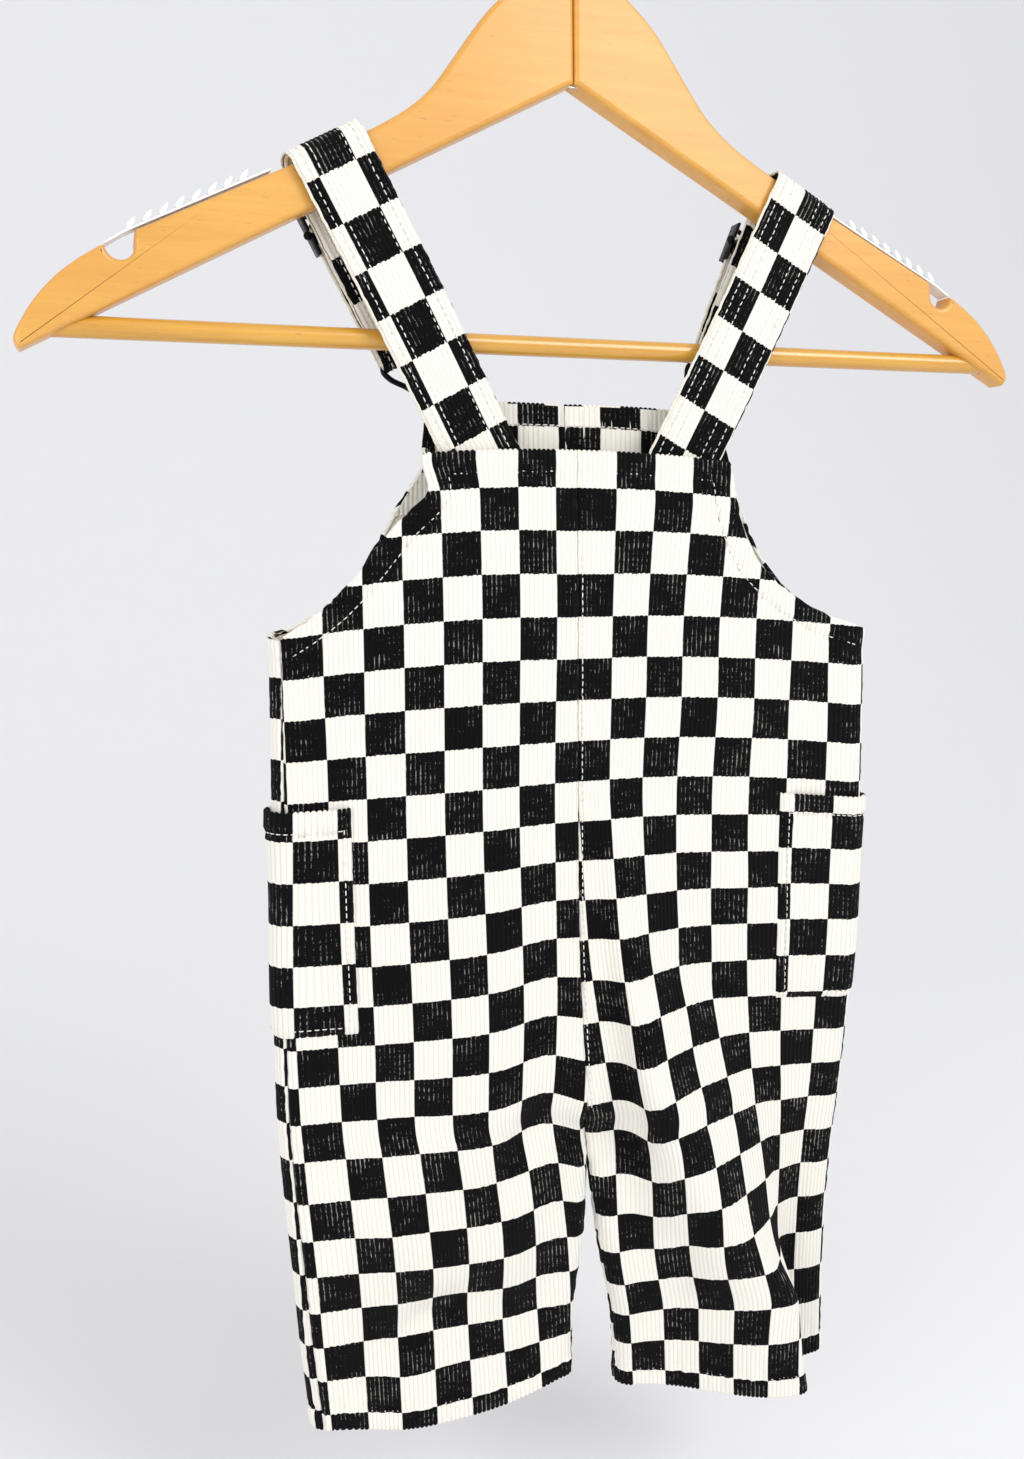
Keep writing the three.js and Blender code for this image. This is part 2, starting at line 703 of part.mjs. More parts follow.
// The wire buckle: a wide bar that the strap folds round, narrowing to a loop that holds
// the button's stem.
const buckleLong = 42;
const buckleHalf = strapWide / 2 + 2.6;
const buckleSide = table(
  ["drop", "y", "reach"],
  [0, buckleBarY, buckleHalf - 3],
  [2.4, buckleBarY, buckleHalf],
  [9, buckleBarY + 0.4, buckleHalf - 1],
  [20, 13.2, 9],
  [27, 13.2, 4.6],
  [34, 13.2, 4.6],
  [buckleLong - 1, 13.2, 3.2],
);
const buttonUp = buckleBarUp - buckleLong + 5;
function buckle(strap) {
  const at = (drop, y, z) => new THREE.Vector3(buckleBarUp - drop, y, z);
  const points = [
    at(0, buckleBarY, 0),
    ...buckleSide.map(({ drop, y, reach }) => at(drop, y, reach)),
    at(buckleLong, 13.2, 0),
    ...buckleSide.map(({ drop, y, reach }) => at(drop, y, -reach)).reverse(),
  ];
  return wire(points, buckleWire / 2, true, 40).applyMatrix4(strapFrame(strap));
}

// The button: a domed head on a stem, standing on the back panel's outside. Its profile is
// turned round the depth axis.
const buttonProfile = table(
  ["radius", "y"],
  [0, 8.8], [4, 8.8], [4, 9.7], [1.9, 10], [1.9, 15.2], [8.1, 15.2], [8.5, 15.9], [7.9, 16.7],
  [5, 17.5], [0, 17.8],
);
function button(strap) {
  const outline = buttonProfile.map(({ radius, y }) => new THREE.Vector2(radius, y));
  const body = welded(new THREE.LatheGeometry(outline, 14));
  return body.translate(buttonUp, 0, 0).applyMatrix4(strapFrame(strap));
}

// One arm of the hanger, from the centre joint to its tip, with the strap notch. The upper
// edge follows a table of heights.
const armTop = table(
  ["x", "z"],
  [2, crownZ - 0.1], [9, crownZ - 1.4], [17, -84], [26, -91], [36, -100], [45, -111.5], [53, -122.5],
  [61, -132.5], [70, -140.5], [81, -147.5], [94, -154.5], [118, -166.3], [150, -181.5], [179.6, -195.6],
);
const tipCurve = table(
  ["x", "z"],
  [190.6, -200.9], [198, -205.6], [206, -211.8], [213, -219.2], [218.6, -227.2],
  [hangerHalfSpan, -236], [220.5, -239.4],
);
const notchBottomX = 184.4;
const notchBottomZ = -201.6;
const notchRadius = 2.8;
const stemFootZ = -106;

function arm(side) {
  const outline = new THREE.Shape();
  const pastJoint = -hangerEdge - 1;
  outline.moveTo(pastJoint, apexZ);
  outline.lineTo(pastJoint, crownZ);
  for (const { x, z } of armTop) outline.lineTo(x, z);
  outline.absarc(notchBottomX, notchBottomZ, notchRadius, Math.PI * 0.98, Math.PI * 1.85, false);
  for (const { x, z } of tipCurve) outline.lineTo(x, z);
  const bevel = { bevelEnabled: true, bevelThickness: hangerEdge, bevelSize: hangerEdge };
  const settings = { ...bevel, bevelOffset: -hangerEdge, bevelSegments: 2, curveSegments: 6 };
  const body = extruded(outline, hangerThick - 2 * hangerEdge, settings);
  body.translate(0, 0, -(hangerThick / 2 - hangerEdge));
  body.rotateX(Math.PI / 2);
  const boreFrom = new THREE.Vector3(barHalf - 40, 0, barZ);
  const boreTo = new THREE.Vector3(barHalf + seamGap, 0, barZ);
  const bore = rod(boreFrom, boreTo, barRadius + seamGap, 16);
  const holeFrom = new THREE.Vector3(0, 0, stemFootZ - 2);
  const holeTo = new THREE.Vector3(0, 0, crownZ + 8);
  const stemHole = rod(holeFrom, holeTo, hookWire / 2 + seamGap, 12);
  const otherArm = welded(new THREE.BoxGeometry(20, 40, 120));
  otherArm.translate(seamGap / 2 - 10, 0, (apexZ + crownZ) / 2);
  return mirroredTo(side, cutAway(body, [bore, stemHole, otherArm]));
}

// The ribbed grip strip on an arm's top edge. It bridges the notch. One rib's outline is
// given as a share of the pitch and of the rib's height.
const gripFrom = 132;
const gripFromZ = -172.4;
const gripTo = 193;
const gripSlope = Math.atan(0.478);
const gripWide = 8;
const gripBase = 1.2;
const gripRibs = 9;
const gripRibHigh = 2.6;
const ribOutline = table(["along", "high"], [0.25, 0], [0.42, 1], [0.62, 1], [0.75, 0]);
function gripStrip(side) {
  const long = (gripTo - gripFrom) / Math.cos(gripSlope);
  const pitch = long / gripRibs;
  const outline = new THREE.Shape();
  outline.moveTo(0, 0);
  outline.lineTo(0, gripBase);
  for (let k = 0; k < gripRibs; k += 1) {
    for (const corner of ribOutline) {
      outline.lineTo((k + corner.along) * pitch, gripBase + gripRibHigh * corner.high);
    }
  }
  outline.lineTo(long, gripBase);
  outline.lineTo(long, 0);
  const body = extruded(outline, gripWide).translate(0, 0, -gripWide / 2);
  body.rotateX(Math.PI / 2);
  body.rotateY(gripSlope);
  body.translate(gripFrom, 0, gripFromZ);
  return mirroredTo(side, body);
}

// The hook: a stem in the crown and a round loop, open to the left.
function hook() {
  const bend = hookInside + hookWire / 2;
  const points = [stemFootZ, -90, -74, -60].map((z) => new THREE.Vector3(0, 0, z));
  points.push(new THREE.Vector3(2.4, 0, -48.5), new THREE.Vector3(9.6, 0, -40.4));
  for (let degrees = -40; degrees <= 200; degrees += 24) {
    const angle = THREE.MathUtils.degToRad(degrees);
    points.push(new THREE.Vector3(bend * Math.cos(angle), 0, bend * Math.sin(angle) - hookInside));
  }
  return wire(points, hookWire / 2, false, 40, 8);
}

const finishes = {
  corduroy: { color: 0x8f8d88, roughness: 0.95, metalness: 0 },
  blackMetal: { color: 0x1b1b1d, roughness: 0.38, metalness: 0.7 },
  lacqueredWood: { color: 0xe3b068, roughness: 0.35, metalness: 0 },
  silicone: { color: 0xe6e9ea, roughness: 0.3, metalness: 0 },
  steel: { color: 0xc9ccd0, roughness: 0.25, metalness: 1 },
};

const group = new THREE.Group();
function add(name, geometry, finish) {
  const mesh = new THREE.Mesh(geometry, new THREE.MeshStandardMaterial(finishes[finish]));
  mesh.name = name;
  group.add(mesh);
}

add("front_left", panel(halves.left, faces.frontLeft, frontRows, 9, 2), "corduroy");
add("front_right", panel(halves.right, faces.frontRight, frontRows, 12, 3), "corduroy");
add("back_left", panel(halves.left, faces.backLeft, backRows, 7, 4), "corduroy");
add("back_right", panel(halves.right, faces.backRight, backRows, 7, 3), "corduroy");
add("pocket_left", pocket(halves.left, faces.frontLeft, faces.backLeft, pockets.left), "corduroy");
add("pocket_right", pocket(halves.right, faces.frontRight, faces.backRight, pockets.right), "corduroy");
for (const [name, strap] of Object.entries(straps)) {
  add(`strap_${name}`, strapBody(strap), "corduroy");
  add(`slider_${name}`, slider(strap), "blackMetal");
  add(`buckle_${name}`, buckle(strap), "blackMetal");
  add(`button_${name}`, button(strap), "blackMetal");
}
for (const [name, side] of [["left", -1], ["right", 1]]) {
  add(`hanger_arm_${name}`, arm(side), "lacqueredWood");
  add(`grip_strip_${name}`, gripStrip(side), "silicone");
}
const barEnds = [-barHalf, barHalf].map((x) => new THREE.Vector3(x, 0, barZ));
add("hanger_bar", rod(barEnds[0], barEnds[1], barRadius, 14), "lacqueredWood");
add("hanger_hook", hook(), "steel");

export default group;
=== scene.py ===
"""Looks of the checked corduroy bib overalls on their wooden hanger.

The shapes are worked out in millimetres from the same sizes and tables as the part's source, and
placed in metres in the part's frame. Every "down" is millimetres of cloth below the front bib's top
edge, and every "across" millimetres of cloth from the centre seam.
"""

import math

import bpy
import numpy as np
from bpy.props import FloatProperty, FloatVectorProperty, PointerProperty
from mathutils import Matrix


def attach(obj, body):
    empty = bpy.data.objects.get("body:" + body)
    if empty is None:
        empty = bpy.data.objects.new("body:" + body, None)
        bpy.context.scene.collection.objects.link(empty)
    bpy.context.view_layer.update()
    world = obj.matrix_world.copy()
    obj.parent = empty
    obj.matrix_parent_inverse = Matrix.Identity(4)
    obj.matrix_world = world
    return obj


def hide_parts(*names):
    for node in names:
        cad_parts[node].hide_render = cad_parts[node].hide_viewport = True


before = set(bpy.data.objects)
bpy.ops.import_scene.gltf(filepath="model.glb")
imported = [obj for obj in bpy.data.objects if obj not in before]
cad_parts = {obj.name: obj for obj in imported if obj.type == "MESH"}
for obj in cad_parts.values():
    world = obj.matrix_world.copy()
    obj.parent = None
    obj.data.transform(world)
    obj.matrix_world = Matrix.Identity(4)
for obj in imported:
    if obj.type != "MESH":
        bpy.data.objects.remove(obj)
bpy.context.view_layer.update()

bl_info = {
    "name": "Checked corduroy overalls",
    "version": (1, 0, 0),
    "blender": (4, 5, 0),
    "location": "3D View > Sidebar > Overalls",
    "description": "Builds corduroy bib overalls hanging from a wooden hanger",
    "category": "Add Mesh",
}

MM = 0.001


def linear(colour):
    """A colour given as an sRGB hex number, as the linear values that shaders take."""
    parts = [((colour >> shift) & 255) / 255 for shift in (16, 8, 0)]
    return [c / 12.92 if c <= 0.04045 else ((c + 0.055) / 1.055) ** 2.4 for c in parts]


def table(columns, *rows):
    """A table with named columns and a row for each section or fold."""
    return {name: np.array(values, float) for name, values in zip(columns.split(), zip(*rows))}


def along(rows, column, down):
    """A smooth curve through one column of a table, read at places down the cloth."""
    x, y = rows["down"], rows[column]
    numbers = np.arange(len(x))
    before, after = np.maximum(numbers - 1, 0), np.minimum(numbers + 1, len(x) - 1)
    slope = (y[after] - y[before]) / (x[after] - x[before])
    down = np.clip(down, x[0], x[-1])
    k = np.clip(np.searchsorted(x, down, side="right") - 1, 0, len(x) - 2)
    span, rise = x[k + 1] - x[k], y[k + 1] - y[k]
    t = (down - x[k]) / span
    bend_start, bend_end = slope[k] * span - rise, rise - slope[k + 1] * span
    return y[k] + rise * t + t * (1 - t) * ((1 - t) * bend_start + t * bend_end)


def smooth(value):
    """A rise from 0 to 1 with rounded ends."""
    t = np.clip(value, 0, 1)
    return t * t * (3 - 2 * t)


def ramp(value):
    """A rise from 0 to 1 that is nearly straight, with short rounded ends."""
    ends = 0.2
    t, steep = np.clip(value, 0, 1), 1 / (1 - ends)
    middle = steep * (t - ends / 2)
    middle = np.where(t < ends, steep * t * t / (2 * ends), middle)
    return np.where(t > 1 - ends, 1 - steep * (1 - t) ** 2 / (2 * ends), middle)


# Sections of each half: where the centre seam or inseam and the side turn lie.
SECTIONS = "down cut seam_x side_x seam_z middle_z side_z"
LEFT_SECTIONS = table(
    SECTIONS,
    (-22, 0, -1.5, -125.5, -252.5, -253, -260),
    (0, 0, -1.5, -125.5, -274, -276, -285),
    (33, 0, -1.5, -125.5, -307, -307.5, -314.5),
    (69, 0, -1.5, -125.5, -343.5, -343.5, -348.5),
    (141, -1.5, -2, -126, -415, -415, -415.5),
    (213, -2, -2, -128, -486, -487, -485.5),
    (249, -4, -1.5, -128.5, -523.5, -522, -519.5),
    (285, -9, 0, -128.5, -562, -557, -552),
    (305, -13, 3, -127.5, -580.5, -575.5, -571),
    (321, -11.5, 4, -126.5, -597.5, -592, -588),
    (357, -4.5, 2.5, -123.5, -631.5, -628, -622),
    (393, 3, -1.5, -120.5, -663.5, -660.5, -656.5),
    (437, 6, -3, -117, -697, -703.5, -695),
)
RIGHT_SECTIONS = table(
    SECTIONS,
    (-22, 0, -1.5, 137, -252.5, -254.5, -264),
    (0, 0, -1.5, 137, -274, -278, -289),
    (33, 0, -1.5, 137, -307, -309.5, -319),
    (69, 0, -1.5, 137.5, -343.5, -345, -351.5),
    (141, 0, -2, 138, -415, -416.5, -425),
    (213, -5, -2, 137, -486, -485.5, -493.5),
    (249, -9, -1.5, 135, -523.5, -521.5, -529),
    (285, -13, 0, 132.5, -562, -558, -563),
    (305, -16, 3, 131, -580.5, -577.5, -582),
    (321, -15, 5.5, 129.5, -600, -594.5, -597.5),
    (357, -12, 10.5, 127, -637.5, -632, -632),
    (393, -11, 17, 126, -671, -668.5, -670),
    (437, -11, 19.5, 125.5, -707, -713, -715),
)

# Depths of each half: the two walls at the centre seam and half way across, and the middle and
# radius of the turns that join them at the side and, below the crotch, at the inseam.
DEPTHS = "down front_seam back_seam front_middle back_middle turn_y side_turn in_y in_turn"
LEFT_DEPTHS = table(
    DEPTHS,
    (-22, -10, 7, -11, 8, -2, 7.5, -1, 5),
    (69, -10.5, 7.5, -12, 9, -2, 7.5, -1, 5),
    (141, -10.5, 8, -13, 10.5, -1.5, 8, -1, 5),
    (213, -11, 9, -13, 11.5, -1, 8, -1, 5),
    (249, -13, 9.5, -13, 11.5, -1, 8, -1, 5),
    (285, -14, 9, -12.5, 11, -1, 8, -1, 5),
    (305, -6, 4, -12, 11, 0, 8, -1, 5),
    (321, -6, 4, -11.5, 11, 0, 8, -0.5, 5.7),
    (357, -6, 4, -9.5, 12, 1.5, 8.5, 0, 6.5),
    (393, -6, 4, -3, 15, 4.5, 9, 2.5, 6.8),
    (437, -6, 4, -5, 15, 4.5, 9, 3.5, 7),
)
RIGHT_DEPTHS = table(
    DEPTHS,
    (-22, -10, 7, -11, 8, -2, 8, -1, 5),
    (69, -10.5, 7.5, -12, 9, -2, 8, -1, 5),
    (141, -10.5, 8, -12, 10.5, -1.5, 8, -1, 5),
    (213, -11, 9, -11.5, 11.5, -1, 8, -1, 5),
    (249, -13, 9.5, -11, 11.5, 0, 8, -1, 5),
    (285, -14, 9, -10, 11, 1, 8, -1, 5),
    (305, -6, 4, -9, 11, 2, 8, -1, 5),
    (321, -6, 4, -8.5, 11.5, 3, 8, -1, 6.5),
    (357, -6, 4, -7.5, 13, 5, 8.5, -1, 8),
    (393, -6, 4, -6.5, 14.5, 6, 8.5, 0.5, 8),
    (437, -6, 4, -7, 14.5, 5.5, 8.5, 2, 8),
)

# The deep swell of the right leg: it climbs from the inner edge to a crest that runs down and
# outward, then falls away steeply.
SWELL = table(
    "down crest height climb fall",
    (150, 14, 0, 18, 42),
    (213, 18, 7, 20, 46),
    (249, 22, 12, 22, 48),
    (285, 28, 18, 26, 58),
    (321, 40, 21, 40, 58),
    (357, 56, 23, 52, 48),
    (393, 76, 25, 76, 34),
    (437, 84, 25, 84, 34),
)

# Ease: how far the middle of each row of cloth is drawn towards the centre seam.
LEFT_EASE = table(
    "down drawn",
    (150, 0), (190, 1), (250, 3.5), (290, 5), (320, 5.7), (350, 5), (385, 4), (410, 2), (437, 0),
)
RIGHT_EASE = table(
    "down drawn",
    (20, 0), (70, 5), (110, 6), (150, 8.5), (200, 9.8), (235, 8.8), (265, 6.5), (300, 3.5), (340, 1.5),
    (393, 0),
)

# Local drifts, only in these looks: how far the cloth round a place is pulled out from the centre
# seam and raised, and how wide and high the pulled patch is.
DRIFTS = "across down out rise wide high"
LEFT_DRIFTS = table(
    DRIFTS,
    (14, 302, 0, 7.6, 19, 92),
    (120, 320, -5, 0, 22, 165),
    (88, 408, 0, -3, 14, 24),
    (50, 385, 2.4, 0, 26, 30),
    (58, 2, 4, 0, 16, 9),
)
RIGHT_DRIFTS = table(
    DRIFTS,
    (14, 255, 0, -2.2, 18, 40),
    (19, 316, 0, -4.8, 13, 44),
    (22, 300, 1.8, 0, 22, 60),
    (72, 288, 4.6, 0, 28, 52),
    (84, 356, 5.2, 0, 22, 42),
)

# Soft creases: a run of cloth that lies lower, or higher where the depth is negative.
CREASES = "across down to_across to_down depth width"
FRONT_LEFT_CREASES = table(
    CREASES,
    (96, 394, 56, 372, 3.2, 9),
    (12, 288, 46, 330, 2.6, 9),
    (112, 84, 88, 128, 1.6, 10),
    (98, 262, 70, 300, 1.5, 11),
    (30, 402, 22, 350, 1.8, 9),
    (108, 330, 80, 352, -1.6, 10),
)
FRONT_RIGHT_CREASES = table(
    CREASES,
    (9, 176, 12, 268, 2.2, 8),
    (112, 78, 96, 132, 1.8, 10),
    (30, 214, 84, 262, 1.8, 11),
    (118, 300, 108, 420, 2.4, 8),
    (22, 398, 40, 330, 2, 9),
    (70, 168, 92, 214, -1.4, 12),
)
BACK_LEFT_CREASES = table(
    CREASES,
    (14, 282, 58, 330, 3, 10),
    (104, 96, 80, 146, 2, 11),
    (90, 300, 40, 404, 2.8, 11),
    (34, 170, 20, 250, 1.8, 10),
    (106, 372, 76, 396, 2, 9),
)
BACK_RIGHT_CREASES = table(
    CREASES,
    (14, 280, 52, 322, 2.8, 10),
    (110, 92, 84, 150, 2.2, 11),
    (36, 330, 84, 412, 3, 12),
    (40, 178, 24, 246, 1.6, 10),
    (108, 306, 100, 396, 2, 9),
)

# Armholes, as millimetres of cloth down and across, from the bib's corner to the side turn.
ARMHOLE = "down across"
FRONT_LEFT_ARMHOLE = table(
    ARMHOLE, (0, 63.5), (15, 64.5), (27, 77), (37, 86), (47, 95), (57, 106), (65, 118), (70, 127)
)
FRONT_RIGHT_ARMHOLE = table(
    ARMHOLE, (0, 66), (16, 69), (27, 72), (41, 80), (50, 88.5), (59, 101), (65.5, 115), (70, 133)
)
BACK_LEFT_ARMHOLE = table(
    ARMHOLE,
    (-21, 60), (-6, 61), (4.5, 62.4), (14.5, 69.2), (25, 75.9), (40, 84.8), (54, 95.8), (60, 104.3),
    (65, 116.5), (70, 140),
)
BACK_RIGHT_ARMHOLE = table(
    ARMHOLE, (-21, 72), (-6, 74), (9, 78), (25, 84), (39, 92), (53, 104), (63, 117), (71, 140)
)

# The checks and wales of the cloth, and where the printed grid starts on each piece.
CHECK_WIDE = 16.7
CHECK_HIGH = 18.0
WALES_A_CHECK = 8
WALE = CHECK_WIDE / WALES_A_CHECK
WALE_HIGH = 0.42
CLOTH_THICK = 1.6
CROTCH_DOWN = 305
HEM_DOWN = 437
ARMHOLE_DOWN = 70

# One half of the garment. Front_turn is the front panel's share of the side's half circle.
HALVES = {
    "left": {
        "side": -1,
        "sections": LEFT_SECTIONS,
        "depths": LEFT_DEPTHS,
        "ease": LEFT_EASE,
        "drifts": LEFT_DRIFTS,
        "flat_end": 122.5,
        "front_turn": 0.19,
    },
    "right": {
        "side": 1,
        "sections": RIGHT_SECTIONS,
        "depths": RIGHT_DEPTHS,
        "ease": RIGHT_EASE,
        "drifts": RIGHT_DRIFTS,
        "flat_end": 128,
        "front_turn": 0.5,
    },
}

# Each wall: which way it faces, its folds, its armhole, its top edge, and where its checks start.
# Grid_across and grid_down are a corner of the grid, and odd is 1 where the cell that starts there,
# away from the seam and down, is black.
FACES = {
    "front_left": {
        "half": "left",
        "sign": -1,
        "creases": FRONT_LEFT_CREASES,
        "armhole": FRONT_LEFT_ARMHOLE,
        "top": 0,
        "grid_across": 10,
        "grid_down": 51.2,
        "odd": 0,
    },
    "front_right": {
        "half": "right",
        "sign": -1,
        "creases": FRONT_RIGHT_CREASES,
        "armhole": FRONT_RIGHT_ARMHOLE,
        "swells": True,
        "top": 0,
        "grid_across": 16.4,
        "grid_down": 51.2,
        "odd": 0,
    },
    "back_left": {
        "half": "left",
        "sign": 1,
        "creases": BACK_LEFT_CREASES,
        "armhole": BACK_LEFT_ARMHOLE,
        "top": -21,
        "grid_across": 8,
        "grid_down": 50.0,
        "odd": 0,
    },
    "back_right": {
        "half": "right",
        "sign": 1,
        "creases": BACK_RIGHT_CREASES,
        "armhole": BACK_RIGHT_ARMHOLE,
        "top": -21,
        "grid_across": 8.7,
        "grid_down": 60.5,
        "odd": 1,
    },
}


def crease_drop(creases, across, down):
    """How far the creases of a wall lower the cloth."""
    total = np.zeros(np.broadcast(across, down).shape)
    for x0, y0, x1, y1, depth, width in zip(*(creases[name] for name in CREASES.split())):
        run_x, run_y = x1 - x0, y1 - y0
        share = ((across - x0) * run_x + (down - y0) * run_y) / (run_x**2 + run_y**2)
        near = np.clip(share, 0, 1)
        aside = ((across - x0 - near * run_x) ** 2 + (down - y0 - near * run_y) ** 2) / width**2
        total += depth * (0.35 + 0.65 * np.sin(np.pi * near)) * np.exp(-aside)
    return total


def swell_lift(across, down, inner_edge):
    """How far the right leg's swell lifts the front wall."""
    crest = along(SWELL, "crest", down)
    climb = np.minimum(along(SWELL, "climb", down), crest - inner_edge)
    up = smooth(1 - (crest - across) / climb)
    off = ramp((across - crest) / along(SWELL, "fall", down))
    return along(SWELL, "height", down) * up * (1 - off)


def drifted(drifts, across, down):
    """How far the cloth at each place is pulled out and raised by the local drifts."""
    out, rise = np.zeros((2, *np.broadcast(across, down).shape))
    for x, y, pull, lift, wide, high in zip(*(drifts[name] for name in DRIFTS.split())):
        near = np.exp(-(((across - x) / wide) ** 2) - ((down - y) / high) ** 2)
        out += pull * near
        rise += lift * near
    return out, rise


def inner_angle(down):
    """How far the inner edge has turned towards the other wall: a quarter turn below the crotch."""
    turn_begins = 22
    return (np.pi / 2) * smooth((down - CROTCH_DOWN + turn_begins) / turn_begins)


def edge_across(face_name, down):
    """Where a panel's side edge lies: the armhole above, the side seam below."""
    face = FACES[face_name]
    half = HALVES[face["half"]]
    share = half["front_turn"] if face["sign"] < 0 else 1 - half["front_turn"]
    seam = half["flat_end"] + along(half["depths"], "side_turn", down) * np.pi * share
    cut = along(face["armhole"], "across", down)
    return np.where(down < ARMHOLE_DOWN, np.minimum(seam, cut), seam)


def wall_rows(face_name, down):
    """Level rows of a wall: stations across the flat cloth between the two turns."""
    face = FACES[face_name]
    half = HALVES[face["half"]]
    side, sections, depths, flat_end = (half[k] for k in ("side", "sections", "depths", "flat_end"))
    sign, count, fade, steepest = face["sign"], 160, 10, 0.97
    angle = inner_angle(down)
    in_turn = along(depths, "in_turn", down)
    side_turn = along(depths, "side_turn", down)
    start = along(sections, "cut", down) + in_turn * angle
    inseam = along(depths, "in_y", down) + sign * in_turn
    wall = "front" if sign < 0 else "back"
    seam = np.where(down < CROTCH_DOWN, along(depths, wall + "_seam", down), inseam)
    w = np.linspace(0, 1, count + 1)
    span = (flat_end - start)[:, None]
    across = start[:, None] + span * w
    level = down[:, None]
    outer_fade = smooth((flat_end - across) / fade)
    inner_fade = smooth((across - start[:, None]) / fade)
    lift = -crease_drop(face["creases"], across, level) * inner_fade * outer_fade
    if face.get("swells"):
        lift = lift + swell_lift(across, level, start[:, None]) * outer_fade

    def curve(first, middle, last):
        a, b, c = (v[:, None] for v in (first, middle, last))
        return a + (c - a) * w + (4 * b - 2 * a - 2 * c) * w * (1 - w)

    end_y = along(depths, "turn_y", down) + sign * side_turn
    y = curve(seam, along(depths, wall + "_middle", down), end_y) + sign * lift
    z = curve(*(along(sections, name, down) for name in ("seam_z", "middle_z", "side_z")))
    step = span / count
    slope = np.minimum(steepest, np.abs(np.diff(y, axis=1)) / step)
    travelled = np.cumsum(np.pad(step * np.sqrt(1 - slope**2), ((0, 0), (1, 0))), axis=1)
    first_x = along(sections, "seam_x", down) + side * in_turn * np.sin(angle)
    last_x = along(sections, "side_x", down)
    x = first_x[:, None] + (last_x - first_x)[:, None] * travelled / travelled[:, -1:]
    x -= side * along(half["ease"], "drawn", down)[:, None] * 4 * w * (1 - w)
    if sign < 0:
        out, rise = drifted(half["drifts"], across, level)
        x += side * out * inner_fade * outer_fade
        z = z + rise
    stations = np.stack([x, y, z], -1)
    return {"start": start, "in_turn": in_turn, "side_turn": side_turn, "stations": stations}


def wall_points(face_name, down, across):
    """Points of a wall's middle form: down is one value a row, across has the places of each row."""
    face = FACES[face_name]
    half = HALVES[face["half"]]
    side, sign, flat_end = half["side"], face["sign"], half["flat_end"]
    rows = wall_rows(face_name, down)
    stations = rows["stations"]
    count = stations.shape[1] - 1
    start = rows["start"][:, None]
    place = np.clip((across - start) / (flat_end - start), 0, 1) * count
    index = np.minimum(place.astype(int), count - 1)
    part = (place - index)[..., None]
    level = np.arange(len(down))[:, None]
    points = stations[level, index] * (1 - part) + stations[level, index + 1] * part
    for turn, past, way in (("in_turn", start - across, -side), ("side_turn", across - flat_end, side)):
        radius = rows[turn][:, None]
        angle = np.maximum(past, 0) / radius
        points[..., 0] += way * radius * np.sin(angle)
        points[..., 1] -= sign * radius * (1 - np.cos(angle))
    return points


def wall_places(face_name, down, across):
    """Points of a wall and the directions square to the cloth, out of the garment."""
    face = FACES[face_name]
    step = 0.4
    points = wall_points(face_name, down, across)
    run = wall_points(face_name, down, across + step) - wall_points(face_name, down, across - step)
    fall = wall_points(face_name, down + step, across) - wall_points(face_name, down - step, across)
    out = np.cross(run, fall)
    out /= np.linalg.norm(out, axis=-1, keepdims=True)
    return points, out * HALVES[face["half"]]["side"] * face["sign"]


def wale_lift(across, grid_across):
    """The corduroy's ridges: rounded, with narrow grooves between them."""
    phase = (across - grid_across) / WALE
    return WALE_HIGH * (np.abs(np.sin(np.pi * phase)) ** 0.7 - 0.6)


def wobble(place, seed):
    """An uneven wave between -1 and 1, for puckers along a row of stitches."""
    total = np.sin(place * 0.61 + seed) + 0.7 * np.sin(place * 0.97 + 2.1 * seed)
    return (total + 0.6 * np.sin(place * 1.53 + 3.7 * seed + 0.8 * np.sin(place * 0.13))) / 2.3


HEM_TURNED = 8.5


def hem_lift(aside, place, seed):
    """How a turned hem stands up, dips at its stitches and puckers. Aside is the distance from the
    edge, and place runs along it."""
    turned = 0.55 * smooth((HEM_TURNED + 0.5 - aside) / 1.6)
    groove = -0.55 * np.exp(-(((aside - HEM_TURNED) / 1.2) ** 2))
    pucker = 0.55 * wobble(place, seed) * np.exp(-(((aside - HEM_TURNED) / 5.5) ** 2))
    return turned + groove + pucker


def edge_distance(face_name, down, across):
    """The distance from places of a wall to its armhole, and how far along the armhole they are."""
    armhole = FACES[face_name]["armhole"]
    at = np.linspace(armhole["down"][0], ARMHOLE_DOWN, 60)
    curve_across = along(armhole, "across", at)
    gaps = (down[..., None] - at) ** 2 + (across[..., None] - curve_across) ** 2
    nearest = gaps.argmin(-1)
    return np.sqrt(gaps.min(-1)), at[nearest] + curve_across[nearest]


def panel_lift(face_name, down, across):
    """The small forms that sewing gives a panel: hems, armholes, seams and their puckers."""
    face = FACES[face_name]
    half = HALVES[face["half"]]
    level = np.broadcast_to(down[:, None], across.shape)
    seed = 1.3 + 2 * list(FACES).index(face_name)
    lift = hem_lift(HEM_DOWN - level, across, seed) + hem_lift(level - face["top"], across, seed + 1)
    near, place = edge_distance(face_name, level, across)
    lift += np.where(level < ARMHOLE_DOWN + 30, hem_lift(near, place, seed + 2), 0)
    inner = across - along(half["sections"], "cut", down)[:, None]
    outer = edge_across(face_name, down)[:, None] - across
    for aside, strength in ((inner, 1.0), (outer, np.where(level > ARMHOLE_DOWN, 1.0, 0.0))):
        lift -= strength * 1.1 * np.clip(1 - aside / 1.8, 0, 1) ** 2
        lift += strength * 0.42 * wobble(level, seed + 3) * np.exp(-((aside / 7) ** 2))
    return lift


